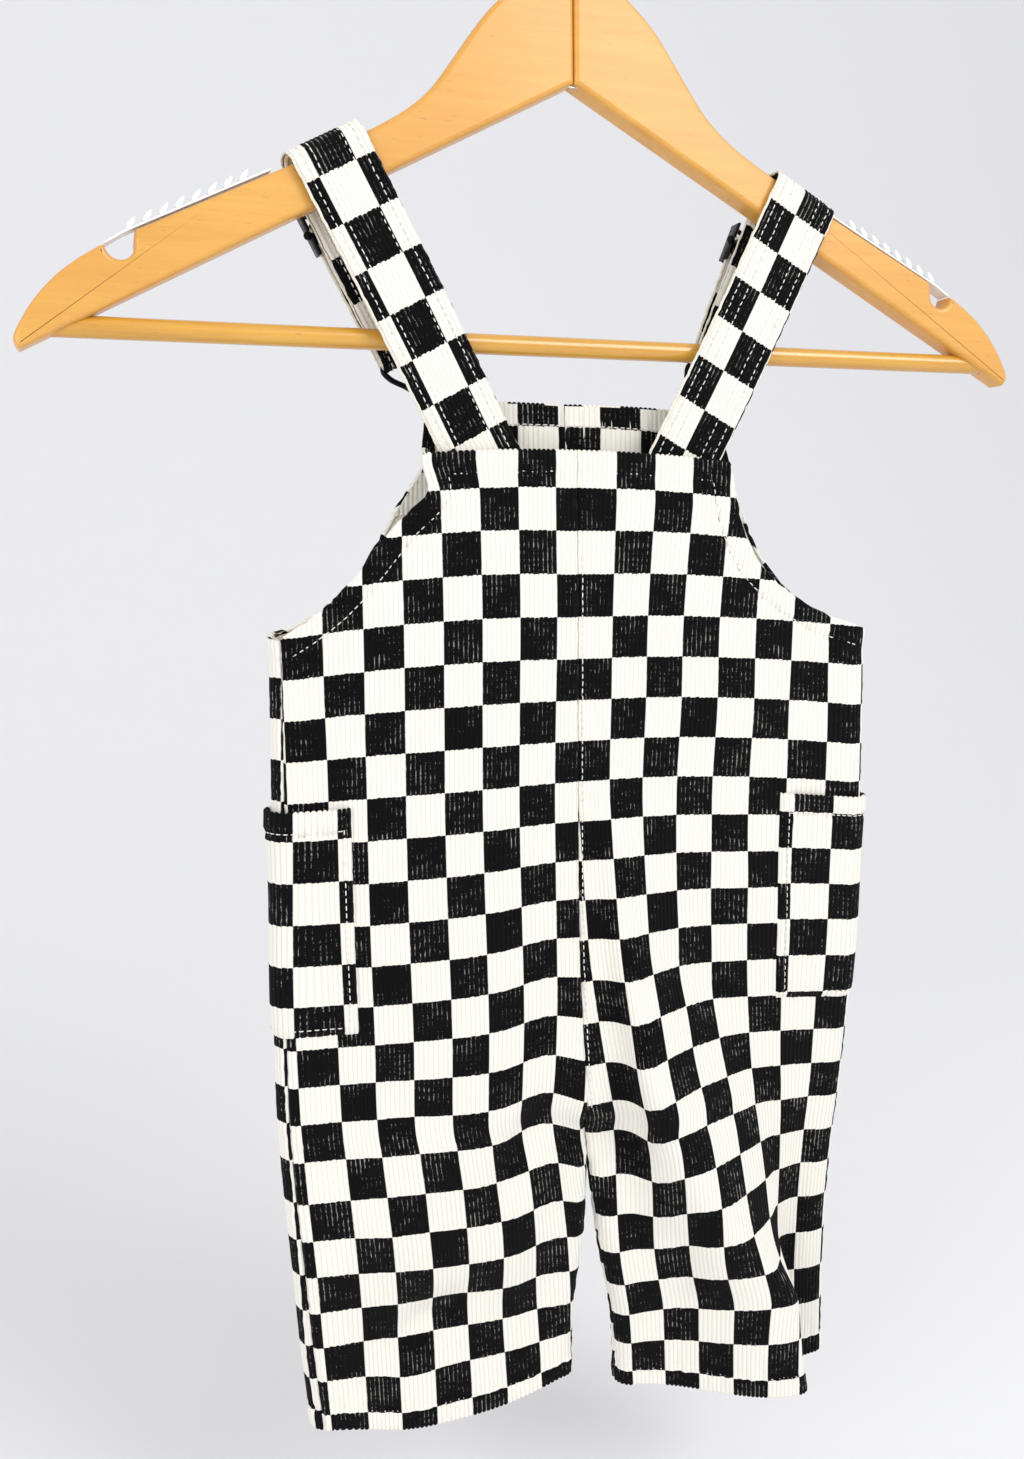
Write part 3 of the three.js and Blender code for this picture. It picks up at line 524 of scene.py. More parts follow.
class Shape:
    """Collects points, faces and cloth coordinates of one mesh."""

    def __init__(self):
        self.points, self.faces, self.cloth, self.slots, self.count = [], [], [], [], 0

    def add(self, points, faces, cloth=None, slot=0):
        """Adds points with the faces between them. Cloth has the check coordinates of each point."""
        points = np.asarray(points, float).reshape(-1, 3)
        self.points.append(points)
        self.cloth.append(np.zeros((len(points), 2)) if cloth is None else np.reshape(cloth, (-1, 2)))
        for group in faces:
            self.faces.append(np.asarray(group) + self.count)
            self.slots.append(np.full(len(group), slot))
        self.count += len(points)

    def build(self, name, materials, body="root"):
        """Makes the mesh object, in metres, riding on its body."""
        mesh = bpy.data.meshes.new(name)
        points = np.concatenate(self.points) * MM
        mesh.vertices.add(len(points))
        mesh.vertices.foreach_set("co", points.ravel())
        sizes = np.concatenate([np.full(len(g), g.shape[1]) for g in self.faces])
        corners = np.concatenate([g.ravel() for g in self.faces])
        mesh.loops.add(len(corners))
        mesh.loops.foreach_set("vertex_index", corners)
        mesh.polygons.add(len(sizes))
        mesh.polygons.foreach_set("loop_start", np.concatenate([[0], np.cumsum(sizes)[:-1]]))
        mesh.polygons.foreach_set("loop_total", sizes)
        mesh.polygons.foreach_set("material_index", np.concatenate(self.slots))
        mesh.update(calc_edges=True)
        uv = mesh.uv_layers.new(name="cloth")
        uv.data.foreach_set("uv", np.concatenate(self.cloth)[corners].ravel())
        mesh.validate()
        mesh.shade_smooth()
        for material in materials:
            mesh.materials.append(material)
        made = bpy.data.objects.new(name, mesh)
        bpy.context.scene.collection.objects.link(made)
        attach(made, body)
        return made


def numbered(points):
    """The number of each point in a grid of them."""
    return np.arange(points[..., 0].size).reshape(points.shape[:2])


def grid_faces(index, flip=False):
    """Faces between neighbours in a grid of point numbers. A corner pair that is one point gives a
    triangle, and a quad with no width left is dropped."""
    a, b, c, d = (g.ravel() for g in (index[:-1, :-1], index[:-1, 1:], index[1:, 1:], index[1:, :-1]))
    top, bottom = a == b, c == d
    groups = [
        np.stack([a, b, c, d], -1)[~top & ~bottom],
        np.stack([a, c, d], -1)[top & ~bottom],
        np.stack([a, b, c], -1)[~top & bottom],
    ]
    return [g[:, ::-1] if flip else g for g in groups if len(g)]


def panel_grid(face_name, down, columns):
    """Places across each row of a panel, held between its edges, with the point number of each. The
    columns follow the wales, and past an edge they fold on to the edge's own point."""
    half = HALVES[FACES[face_name]["half"]]
    low = along(half["sections"], "cut", down)[:, None]
    high = edge_across(face_name, down)[:, None]
    across = np.clip(columns[None, :], low, high)
    number = np.arange(across.size).reshape(across.shape)
    first = np.maximum((columns[None, :] <= low).sum(1) - 1, 0)[:, None]
    last = np.minimum((columns[None, :] < high).sum(1), len(columns) - 1)[:, None]
    place = np.clip(np.arange(len(columns))[None, :], first, last)
    return across, np.take_along_axis(number, place, 1), first[:, 0], last[:, 0]


def panel_downs(top):
    """Rows down a panel, closer where an armhole ends and at the crotch."""
    steps = [
        np.arange(top, 54, 2.5),
        np.arange(54, 72, 1.0),
        np.arange(72, 282, 2.8),
        np.arange(282, 318, 2.0),
        np.arange(318, HEM_DOWN, 2.8),
        [HEM_DOWN],
    ]
    return np.unique(np.concatenate(steps))


def check_place(face_name, across, down):
    """Check coordinates: the whole numbers are the lines of the printed grid. Round the side turn,
    where the drifts don't move the cloth itself, they move its print."""
    face = FACES[face_name]
    if face["sign"] < 0:
        half = HALVES[face["half"]]
        still = 1 - smooth((half["flat_end"] - across) / 10)
        across = across - drifted(half["drifts"], across, down)[0] * still
    u = (across - face["grid_across"]) / CHECK_WIDE + face["odd"]
    v = (down - face["grid_down"]) / CHECK_HIGH
    return np.stack(np.broadcast_arrays(u, v), -1)


FOLD_WALES = 2.1


def fold_over(shape, points, out, beyond, height, cloth, inward, turned=HEM_TURNED + 1):
    """Rolls the cloth round a cut edge to its inside and lays the turned hem there. Points, out and
    beyond are the edge's line, the direction out of the cloth and the one past the edge."""
    radius = CLOTH_THICK / 2
    rings, coords = [points + out * height[:, None]], [cloth]
    for degrees in (40, 80, 120, 160):
        angle = math.radians(degrees)
        way = beyond * math.sin(angle) + out * math.cos(angle)
        reach = radius + height * (1 + (FOLD_WALES - 1) * math.sin(angle))
        rings.append(points - out * radius + way * reach[:, None])
        coords.append(cloth + inward * (degrees / 180) * 0.15)
    for depth in (0.15 * turned, turned):
        rings.append(points - out * (CLOTH_THICK + 0.35 + height[:, None] * 0.5) - beyond * depth)
        coords.append(cloth + inward * (depth / CHECK_HIGH + 0.15))
    rings.append(rings[-1] + out * 0.9)
    coords.append(coords[-1])
    rings = np.stack(rings)
    shape.add(rings, grid_faces(numbered(rings)), np.stack(coords))


def past_edge(line, normal, inner_line):
    """The directions in the cloth past an edge, away from a line inside it."""
    beyond = np.cross(np.gradient(line, axis=0), normal)
    beyond /= np.linalg.norm(beyond, axis=1, keepdims=True)
    return beyond * np.where((beyond * (inner_line - line)).sum(1) > 0, -1, 1)[:, None]


def wale_columns(grid, first, last):
    """Places across the cloth that follow its ridges, from one wale's number to another's."""
    ridge = np.array([0, 0.2, 0.5, 0.8])
    return grid + (np.arange(first, last)[:, None] + ridge).ravel() * WALE


def panel(face_name, materials):
    """One panel of the garment: ridged outside, plain inside, and folds over its open edges."""
    face = FACES[face_name]
    half = HALVES[face["half"]]
    down = panel_downs(face["top"])
    first = math.floor((-18 - face["grid_across"]) / WALE)
    last = math.ceil((half["flat_end"] + 30 - face["grid_across"]) / WALE)
    columns = wale_columns(face["grid_across"], first, last)
    across, index, start, end = panel_grid(face_name, down, columns)
    points, out = wall_places(face_name, down, across)
    height = wale_lift(across, face["grid_across"])
    lift = panel_lift(face_name, down, across)
    shape = Shape()
    flip = half["side"] * face["sign"] > 0
    cloth = check_place(face_name, across, down[:, None])
    shape.add(points + out * (lift + height)[..., None], grid_faces(index, flip), cloth)

    wide = np.unique(np.concatenate([columns[::8], columns[-1:]]))
    coarse = down[::2] if (len(down) % 2) else np.append(down[::2], down[-1])
    inner_across, inner_index, _, _ = panel_grid(face_name, coarse, wide)
    inner_points, inner_out = wall_places(face_name, coarse, inner_across)
    inner_lift = panel_lift(face_name, coarse, inner_across)
    set_back = inner_points + inner_out * (inner_lift - CLOTH_THICK)[..., None]
    shape.add(set_back, grid_faces(inner_index, not flip), slot=1)

    base = points + out * lift[..., None]
    rows = np.arange(len(down))
    open_rows = rows[down < ARMHOLE_DOWN]
    edges = [
        ([0] * (end[0] + 1 - start[0]), list(range(start[0], end[0] + 1)), (0, -1)),
        ([len(down) - 1] * (end[-1] + 1 - start[-1]), list(range(start[-1], end[-1] + 1)), (0, 1)),
        (list(open_rows), list(end[open_rows]), (1, 0)),
    ]
    faced = face["sign"] > 0
    for row_numbers, column_numbers, way in edges:
        line = base[row_numbers, column_numbers]
        normal = out[row_numbers, column_numbers]
        inside_row = 3 if way[1] < 0 else (len(down) - 4 if way[1] > 0 else None)
        if inside_row is None:
            inner_line = base[row_numbers, np.maximum(np.array(column_numbers) - 8, 0)]
        else:
            inner_line = base[inside_row, column_numbers]
        beyond = past_edge(line, normal, inner_line)
        tall = height[row_numbers, column_numbers]
        edge_cloth = cloth[row_numbers, column_numbers]
        deep = 1.2 if faced and way[1] <= 0 else HEM_TURNED + 1
        fold_over(shape, line, normal, beyond, tall, edge_cloth, np.array(way, float), deep)
    if faced:
        facing(shape, face_name, down, columns)
    made = shape.build(face_name, materials)
    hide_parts(face_name)
    return made


# The facing inside the wall-side bib: its depth, and a corner of its own grid of checks.
FACING_DEEP = 46
FACING_GRID_X = -2.3
FACING_GRID_DOWN = -11.8
FACING_CHECK_WIDE = 18.2


def facing(shape, face_name, down, columns):
    """The checked facing on the inside of the wall-side bib, whose ridges face the wearer."""
    face = FACES[face_name]
    half = HALVES[face["half"]]
    rows = down[down < face["top"] + FACING_DEEP]
    across, index, _, _ = panel_grid(face_name, rows, columns)
    points, out = wall_places(face_name, rows, across)
    lift = panel_lift(face_name, rows, across)
    height = wale_lift(across, face["grid_across"])
    laid = points + out * (lift - CLOTH_THICK - 0.5 - height)[..., None]
    u = (half["side"] * across - FACING_GRID_X) / FACING_CHECK_WIDE + 1
    v = (rows[:, None] - FACING_GRID_DOWN) / CHECK_HIGH
    flip = half["side"] * face["sign"] < 0
    shape.add(laid, grid_faces(index, flip), np.stack(np.broadcast_arrays(u, v), -1))


# Patch pockets, wrapped round the side seams. Reach is how far each runs on to the flat cloth.
POCKETS = {
    "left": {
        "top": 145, "bottom": 243, "front": 22, "back": 24, "gape": 1.2, "grid": 6.4, "row": 157, "odd": 1,
    },
    "right": {
        "top": 149, "bottom": 250, "front": 31, "back": 24, "gape": 0.8, "grid": 5.2, "row": 157, "odd": 0,
    },
}
POCKET_SEAM = 3.5


def pocket_round(name):
    """The radius of a pocket's turn round the side, and its width from edge to edge."""
    sizes = POCKETS[name]
    middle = np.array([0.5 * (sizes["top"] + sizes["bottom"])])
    turn = float(along(HALVES[name]["depths"], "side_turn", middle)[0])
    return turn, sizes["front"] + math.pi * turn + sizes["back"]


def pocket_stand(sizes, level, aside):
    """How far a pocket stands off its panel: it gapes a little at the mouth."""
    return 1.5 + sizes["gape"] * (1 - smooth((level - sizes["top"]) / 42)) * smooth(aside / 8)


def pocket(name, materials):
    """One patch pocket, from its front edge round the side to its back edge."""
    sizes = POCKETS[name]
    half = HALVES[name]
    top, bottom = sizes["top"], sizes["bottom"]
    down = np.linspace(top, bottom, 46)
    turn, around = pocket_round(name)
    first = math.ceil(-sizes["grid"] / WALE)
    last = math.floor((around - sizes["grid"]) / WALE)
    reach = wale_columns(sizes["grid"], first, last)
    reach = reach[(reach > 1) & (reach < around - 1)]
    rounded_end = np.array([0, 0.3, 0.8])
    reach = np.unique(np.concatenate([rounded_end, reach, around - rounded_end]))
    arc = (reach - sizes["front"]) / turn
    on_front = arc < math.pi * 0.5
    across_front = half["flat_end"] + (reach - sizes["front"])
    across_back = half["flat_end"] + math.pi * turn - (reach - sizes["front"])
    spread = np.ones((len(down), 1))
    front_points, front_out = wall_places("front_" + name, down, across_front[None, :] * spread)
    back_points, back_out = wall_places("back_" + name, down, across_back[None, :] * spread)
    pick = on_front[None, :, None]
    points = np.where(pick, front_points, back_points)
    out = np.where(pick, front_out, back_out)
    level = down[:, None]
    aside = np.minimum(reach, around - reach)[None, :]
    stand = pocket_stand(sizes, level, aside)
    mouth = hem_lift(level - top, reach[None, :], 5.0) * smooth(aside / 3)
    sunk = 1.3 * np.clip(1 - np.minimum(aside, bottom - level) / 1.6, 0, 1) ** 2
    stitched = 0.3 * np.exp(-(((np.minimum(aside, bottom - level) - POCKET_SEAM) / 1.3) ** 2))
    pucker = 0.3 * wobble(level + reach, 7.0) * np.exp(-((np.minimum(aside, bottom - level) / 6) ** 2))
    height = wale_lift(reach, sizes["grid"])[None, :]
    lift = stand + mouth - sunk - stitched + pucker
    u = (reach - sizes["grid"])[None, :] / CHECK_WIDE + sizes["odd"]
    v = (level - sizes["row"]) / CHECK_HIGH
    cloth = np.stack(np.broadcast_arrays(u, v), -1)
    shape = Shape()
    index = numbered(points)
    flip = half["side"] < 0
    shape.add(points + out * (lift + height)[..., None], grid_faces(index, flip), cloth)
    inner = (points + out * (lift - 1.2)[..., None])[:, ::4]
    shape.add(inner, grid_faces(numbered(inner), not flip), slot=1)
    base = points + out * lift[..., None]
    for row, way in ((0, -1), (len(down) - 1, 1)):
        beyond = past_edge(base[row], out[row], base[3 if row == 0 else -4])
        if row == 0:
            fold_over(shape, base[row], out[row], beyond, height[0], cloth[row], np.array([0.0, way]))
        else:
            rim = np.stack([base[row] + out[row] * height.T, base[row] - out[row] * 1.6 + beyond * 0.3])
            shape.add(rim, grid_faces(numbered(rim)), np.stack([cloth[row]] * 2))
    for column in (0, -1):
        raised = base[:, column] + out[:, column] * height[0, column]
        edge = np.stack([raised, base[:, column] - out[:, column] * 1.8])
        shape.add(edge, grid_faces(numbered(edge)), np.stack([cloth[:, column]] * 2))
    made = shape.build("pocket_" + name, materials)
    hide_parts("pocket_" + name)
    return made


# A strap lies in a plane square to the hanger's arm. "Up" is the distance along it from the arm's
# top, and "y" its depth. Grid is a line of its checks, in millimetres from the strap's middle to
# the left, and front_up is where a row of them begins on the side that shows.
STRAP_WIDE = 30
SHOWN_WIDE = 32
SHOWN_MIDDLE = -1
STRAP_THICK = 2.2
STRAP_CHECK_HIGH = 19.1
STRAP_LEAN = math.atan(0.52)
STRAPS = {
    "left": {"x": -105.5, "z": -157, "lean": -1, "grid": 8.6, "front_up": -11.6, "sway": 0},
    "right": {"x": 109, "z": -160.5, "lean": 1, "grid": 0.6, "front_up": -11.8, "sway": 0.085},
}
STRAP_UP = table("up y", (-140, -7), (-122, -7.2), (-90, -8.6), (-55, -8.9), (-25, -8), (-12, -7.7))
STRAP_DOWN = table("up y", (-20, 7.8), (-40, 8.6), (-62, 9.2), (-78, 9.4))
STRAP_BACK = table("up y", (-78, 15.2), (-62, 16.4), (-45, 16.6), (-31, 16.9))
BUCKLE_BAR = {"up": -84, "y": 12.3, "thick": 2.4}
SLIDER_BAR = {"up": -26, "y": 14.6, "thick": 2.4}


def strap_matrix(strap):
    """Turns (up, depth, across) of a strap into the part's frame. Across runs to the left."""
    sine, cosine = strap["lean"] * math.sin(STRAP_LEAN), math.cos(STRAP_LEAN)
    return np.array([[sine, 0, cosine], [0, 1, 0], [-cosine, 0, sine]])


def placed(strap, local):
    """Points given up the strap, in depth and across it, in the part's frame."""
    local = np.array(local, float)
    behind = smooth((local[..., 1] + 6) / 14)
    local[..., 2] -= strap["sway"] * np.clip(-local[..., 0], 0, -BUCKLE_BAR["up"]) * behind
    return local @ strap_matrix(strap) + np.array([strap["x"], 0, strap["z"]])


def arc(centre_up, centre_y, radius, start, end, count):
    """Points of an arc in a strap's plane, with its angles in half turns."""
    angle = np.linspace(start, end, count + 1) * math.pi
    return np.stack([centre_up + radius * np.cos(angle), centre_y + radius * np.sin(angle)], -1)


def fold_radius(bar):
    """The radius of the strap's middle line round a bar."""
    return bar["thick"] / 2 + 0.3 + STRAP_THICK / 2


def smooth_line(points, step):
    """A smooth line through points, resampled in even steps, with the length at each."""
    points = np.asarray(points, float)
    padded = np.vstack([2 * points[0] - points[1], points, 2 * points[-1] - points[-2]])
    fine = []
    for k in range(1, len(padded) - 2):
        p0, p1, p2, p3 = padded[k - 1 : k + 3]
        t = np.linspace(0, 1, 12, endpoint=False)[:, None]
        pairs = ((p0, p1), (p1, p2), (p2, p3))
        gap_a, gap_b, gap_c = (math.sqrt(np.linalg.norm(q - p)) + 1e-9 for p, q in pairs)
        m1 = (p1 - p0) / gap_a - (p2 - p0) / (gap_a + gap_b) + (p2 - p1) / gap_b
        m2 = (p2 - p1) / gap_b - (p3 - p1) / (gap_b + gap_c) + (p3 - p2) / gap_c
        m1, m2 = m1 * gap_b, m2 * gap_b
        first_part = (2 * t**3 - 3 * t**2 + 1) * p1 + (t**3 - 2 * t**2 + t) * m1
        fine.append(first_part + (3 * t**2 - 2 * t**3) * p2 + (t**3 - t**2) * m2)
    fine = np.vstack(fine + [points[-1:]])
    length = np.concatenate([[0], np.cumsum(np.linalg.norm(np.diff(fine, axis=0), axis=1))])
    even = np.linspace(0, length[-1], max(2, int(length[-1] / step)) + 1)
    return np.stack([np.interp(even, length, fine[:, k]) for k in range(fine.shape[1])], -1), even


def strap_line():
    """The strap's middle line in its plane, the way square to it, and the length along it, which is
    0 at the top of the hanger."""
    half_arm, corner = 6 + 0.6 + STRAP_THICK / 2, 4.6
    corner_up, corner_y = STRAP_THICK / 2 + 0.6 - corner, half_arm - corner
    rows = [
        np.stack([STRAP_UP["up"], STRAP_UP["y"]], -1),
        arc(corner_up, -corner_y, corner, -0.5, 0, 4),
        arc(corner_up, corner_y, corner, 0, 0.5, 4),
        np.stack([STRAP_DOWN["up"], STRAP_DOWN["y"]], -1),
        arc(BUCKLE_BAR["up"], BUCKLE_BAR["y"], fold_radius(BUCKLE_BAR), 1.5, 0.5, 6),
        np.stack([STRAP_BACK["up"], STRAP_BACK["y"]], -1),
        arc(SLIDER_BAR["up"], SLIDER_BAR["y"], fold_radius(SLIDER_BAR), 0.5, -0.42, 6),
    ]
    line, length = smooth_line(np.vstack(rows), 2.0)
    run = np.gradient(line, axis=0)
    run /= np.linalg.norm(run, axis=1, keepdims=True)
    outward = np.stack([-run[:, 1], run[:, 0]], -1)
    return line, outward, length - length[line[:, 0].argmax()]


def strap(name, materials):
    """One strap: two layers of corduroy, ridged on both faces, with a pale turned edge."""
    sizes = STRAPS[name]
    line, outward, length = strap_line()
    half_wide = SHOWN_WIDE / 2
    first = math.ceil((-half_wide - 0.1 - sizes["grid"]) / WALE)
    last = math.floor((half_wide - 0.9 - sizes["grid"]) / WALE)
    flat = wale_columns(sizes["grid"], first - 1, last + 1)
    flat = flat[np.abs(flat - SHOWN_MIDDLE) < half_wide - 0.9]
    z_face = np.concatenate([[SHOWN_MIDDLE - half_wide], flat, [SHOWN_MIDDLE + half_wide]])
    aside = half_wide - np.abs(z_face - SHOWN_MIDDLE)
    shape = Shape()
    seed = 2.0 if name == "left" else 4.4
    shown = length < 0
    row_from = np.interp(sizes["front_up"], line[shown, 0], length[shown])
    for face, slot in ((1, 0), (-1, 0)):
        edge = np.clip(aside / 1.6, 0, 1)
        rounding = STRAP_THICK / 2 * np.sqrt(np.clip(1 - (1 - edge) ** 2, 0, 1))
        ridges = wale_lift(z_face, sizes["grid"]) * np.clip(edge, 0.2, 1)
        stitch = np.exp(-(((aside - 3.6) / 0.9) ** 2)) * -0.3
        pucker = 0.26 * wobble(length[:, None] + 5 * np.sign(z_face), seed) * np.exp(-((aside / 5) ** 2))
        tall = (rounding + ridges + stitch)[None, :] + pucker
        offset = outward[:, None, :] * (face * tall)[..., None]
        plane = line[:, None, :] + offset
        z = np.broadcast_to(z_face[None, :], plane.shape[:2])
        z = z + 0.35 * np.sign(z) * wobble(length[:, None], seed + 1) * (1 - edge[None, :])
        local = np.stack([plane[..., 0], plane[..., 1], z], -1)
        u = np.broadcast_to(((sizes["grid"] - z_face) / CHECK_WIDE)[None, :], z.shape)
        v = np.broadcast_to(((row_from - length) / STRAP_CHECK_HIGH)[:, None], z.shape)
        if face > 0:
            u = u + 1.37
            v = v + 0.41
        index = np.arange(z.size).reshape(z.shape)
        shape.add(placed(sizes, local), grid_faces(index, face > 0), np.stack([u, v], -1), slot)
    strip = []
    for offset, depth in ((-0.5, -0.35), (0.35, -0.45), (0.55, -0.85), (0.35, -1.2), (-0.5, -1.25)):
        plane = line + outward * depth
        side = np.full(len(line), SHOWN_MIDDLE + half_wide + offset) + 0.25 * wobble(length, seed + 2)
        strip.append(placed(sizes, np.stack([plane[:, 0], plane[:, 1], side], -1)))
    strip = np.stack(strip)
    shape.add(strip, grid_faces(numbered(strip)), slot=1)
    made = shape.build("strap_" + name, materials)
    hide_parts("strap_" + name)
    return made


def tube(shape, path, radius, sides=12, loop=False, slot=0):
    """A round wire along a line of points, with its ends closed unless it is a loop."""
    path = np.asarray(path, float)
    if loop:
        run = np.roll(path, -1, axis=0) - np.roll(path, 1, axis=0)
    else:
        run = np.gradient(path, axis=0)
    run /= np.linalg.norm(run, axis=1, keepdims=True)
    side = np.cross(run[0], [0.3, 0.5, 0.81])
    normals = []
    for way in run:
        side = side - way * side.dot(way)
        side /= np.linalg.norm(side)
        normals.append(side)
    normals = np.array(normals)
    binormals = np.cross(run, normals)
    angle = np.linspace(0, 2 * np.pi, sides, endpoint=False)
    radius = np.broadcast_to(radius, len(path))[:, None, None]
    ring = normals[:, None] * np.cos(angle)[:, None] + binormals[:, None] * np.sin(angle)[:, None]
    points = path[:, None] + radius * ring
    number = numbered(points)
    index = np.concatenate([number, number[:, :1]], 1)
    if loop:
        index = np.concatenate([index, index[:1]])
    caps = [] if loop else [number[:1, ::-1], number[-1:]]
    shape.add(points, grid_faces(index) + caps, slot=slot)


def block(shape, low, high, bevel=0.35):
    """A box with bevelled edges between two corners."""
    low, high = np.array(low, float), np.array(high, float)
    signs = np.array([(x, y, z) for x in (0, 1) for y in (0, 1) for z in (0, 1)])
    corners = low + signs * (high - low)
    points, number = [], {}
    for k, corner in enumerate(corners):
        for axis in range(3):
            point = corner.copy()
            for other in range(3):
                if other != axis:
                    point[other] += bevel * (1 - 2 * signs[k][other])
            number[k, axis] = len(points)
            points.append(point)
    centre = (low + high) / 2
    faces = {3: [], 4: []}

    def facet(ids):
        a, b, c = (points[i] for i in ids[:3])
        middle = np.mean([points[i] for i in ids], axis=0)
        faces[len(ids)].append(ids if np.dot(np.cross(b - a, c - a), middle - centre) > 0 else ids[::-1])

    for axis in range(3):
        first, second = [k for k in range(3) if k != axis]
        for side in (0, 1):
            ring = []
            for p, q in ((0, 0), (1, 0), (1, 1), (0, 1)):
                key = [0, 0, 0]
                key[axis], key[first], key[second] = side, p, q
                ring.append(number[key[0] * 4 + key[1] * 2 + key[2], axis])
            facet(ring)
        for p in (0, 1):
            for q in (0, 1):
                ends = []
                for side in (0, 1):
                    key = [0, 0, 0]
                    key[axis], key[first], key[second] = side, p, q
                    ends.append(key[0] * 4 + key[1] * 2 + key[2])
                a, b = ends
                facet([number[a, first], number[a, second], number[b, second], number[b, first]])
    for k in range(8):
        facet([number[k, 0], number[k, 1], number[k, 2]])
    shape.add(points, [np.array(group) for group in faces.values()])


def moved(shape, strap_sizes):
    """Puts a shape made in a strap's own plane into the part's frame."""
    shape.points = [placed(strap_sizes, points) for points in shape.points]
    return shape


def slider(name, material):
    """The slider: outer bars across the strap, a middle bar in its fold, and round bar ends."""
    half, long = STRAP_WIDE / 2 + 0.6, 15
    bar_up, bar_y = SLIDER_BAR["up"], SLIDER_BAR["y"]
    outer_y = bar_y + fold_radius(SLIDER_BAR) + STRAP_THICK / 2 + 1.5
    shape = Shape()
    reach = np.linspace(-half, half, 12)

    def bar(up, y, radius):
        tube(shape, np.stack([np.full(12, up), np.full(12, y), reach], -1), radius, 12)

    bar(bar_up, bar_y, 1.2)
    bar(bar_up + long / 2, outer_y, 1.1)
    bar(bar_up - long / 2, outer_y, 1.1)
    for end in (-half, half):
        low = (bar_up - long / 2 - 1.1, bar_y - 1.2, end - 0.6)
        high = (bar_up + long / 2 + 1.1, outer_y + 1.2, end + 0.6)
        block(shape, low, high)
        knob = end + math.copysign(1.1, end)
        turn = np.linspace(0, math.pi, 9)
        path = np.stack([np.full(9, bar_up), np.full(9, bar_y), knob - 1.9 * np.cos(turn)], -1)
        tube(shape, path, np.maximum(1.9 * np.sin(turn), 0.05), 14)
    made = moved(shape, STRAPS[name]).build("slider_" + name, [material])
    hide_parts("slider_" + name)
    return made


BUCKLE_LONG = 42
BUCKLE_HALF = STRAP_WIDE / 2 + 2.6
BUCKLE_SIDE = table(
    "drop y reach",
    (0, 12.3, BUCKLE_HALF - 4.6),
    (2.2, 12.3, BUCKLE_HALF - 2.4),
    (6.5, 12.7, BUCKLE_HALF - 3.8),
    (13, 13.2, 8.5),
    (21, 13.2, 4.6),
    (34, 13.2, 4.6),
    (BUCKLE_LONG - 1, 13.2, 3.2),
)


def buckle(name, material):
    """The wire buckle: a wide bar that the strap folds round, narrowing to the button's loop."""
    side = np.stack([BUCKLE_SIDE["drop"], BUCKLE_SIDE["y"], BUCKLE_SIDE["reach"]], -1)
    other = side[::-1] * np.array([1, 1, -1])
    points = np.vstack([[[0, 12.3, 0]], side, [[BUCKLE_LONG, 13.2, 0]], other, [[0, 12.3, 0]]])
    points[:, 0] = BUCKLE_BAR["up"] - points[:, 0]
    path, _ = smooth_line(points, 1.2)
    shape = Shape()
    tube(shape, path[:-1], BUCKLE_BAR["thick"] / 2, 12, loop=True)
    made = moved(shape, STRAPS[name]).build("buckle_" + name, [material])
    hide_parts("buckle_" + name)
    return made


BUTTON_PROFILE = table(
    "radius y",
    (0, 8.8), (4, 8.8), (4, 9.7), (1.9, 10), (1.9, 15.2), (8.1, 15.2), (8.5, 15.6), (8.45, 16.1),
    (7.9, 16.6), (7.3, 16.7), (6.9, 16.4), (6.3, 16.6), (5, 17.2), (2.5, 17.7), (0, 17.8),
)


def button(name, material):
    """The dungaree button: a domed head with a rim, on a stem."""
    angle = np.linspace(0, 2 * np.pi, 28, endpoint=False)
    radius = np.maximum(BUTTON_PROFILE["radius"], 0.01)[:, None]
    up = BUCKLE_BAR["up"] - BUCKLE_LONG + 5 + radius * np.cos(angle)
    depth = np.broadcast_to(BUTTON_PROFILE["y"][:, None], up.shape)
    points = np.stack([up, depth, radius * np.sin(angle)], -1)
    number = np.arange(up.size).reshape(up.shape)
    shape = Shape()
    shape.add(points, grid_faces(np.concatenate([number, number[:, :1]], 1), True))
    made = moved(shape, STRAPS[name]).build("button_" + name, [material])
    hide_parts("button_" + name)
    return made


# The hanger: its arm's top edge from the centre joint, and its tip after the strap notch.
ARM_THICK = 12
APEX_Z = -125
ARM_TOP = table(
    "x z",
    (0.15, -78), (9, -79.4), (17, -84), (26, -91), (36, -100), (45, -111.5), (53, -122.5),
    (61, -132.5), (70, -140.5), (81, -147.5), (94, -154.5), (118, -166.3), (150, -181.5), (177.2, -194.4),
)
ARM_TIP = table(
    "x z",
    (190.6, -200.9), (198, -205.6), (206, -211.8), (213, -219.2), (218.6, -227.2), (222.5, -236),
    (220.5, -239.4),
)
NOTCH = {"x": 183.2, "z": -200, "radius": 5.5}
BAR_Z = -229.8
BAR_RADIUS = 4.2
BAR_HALF = 213.5


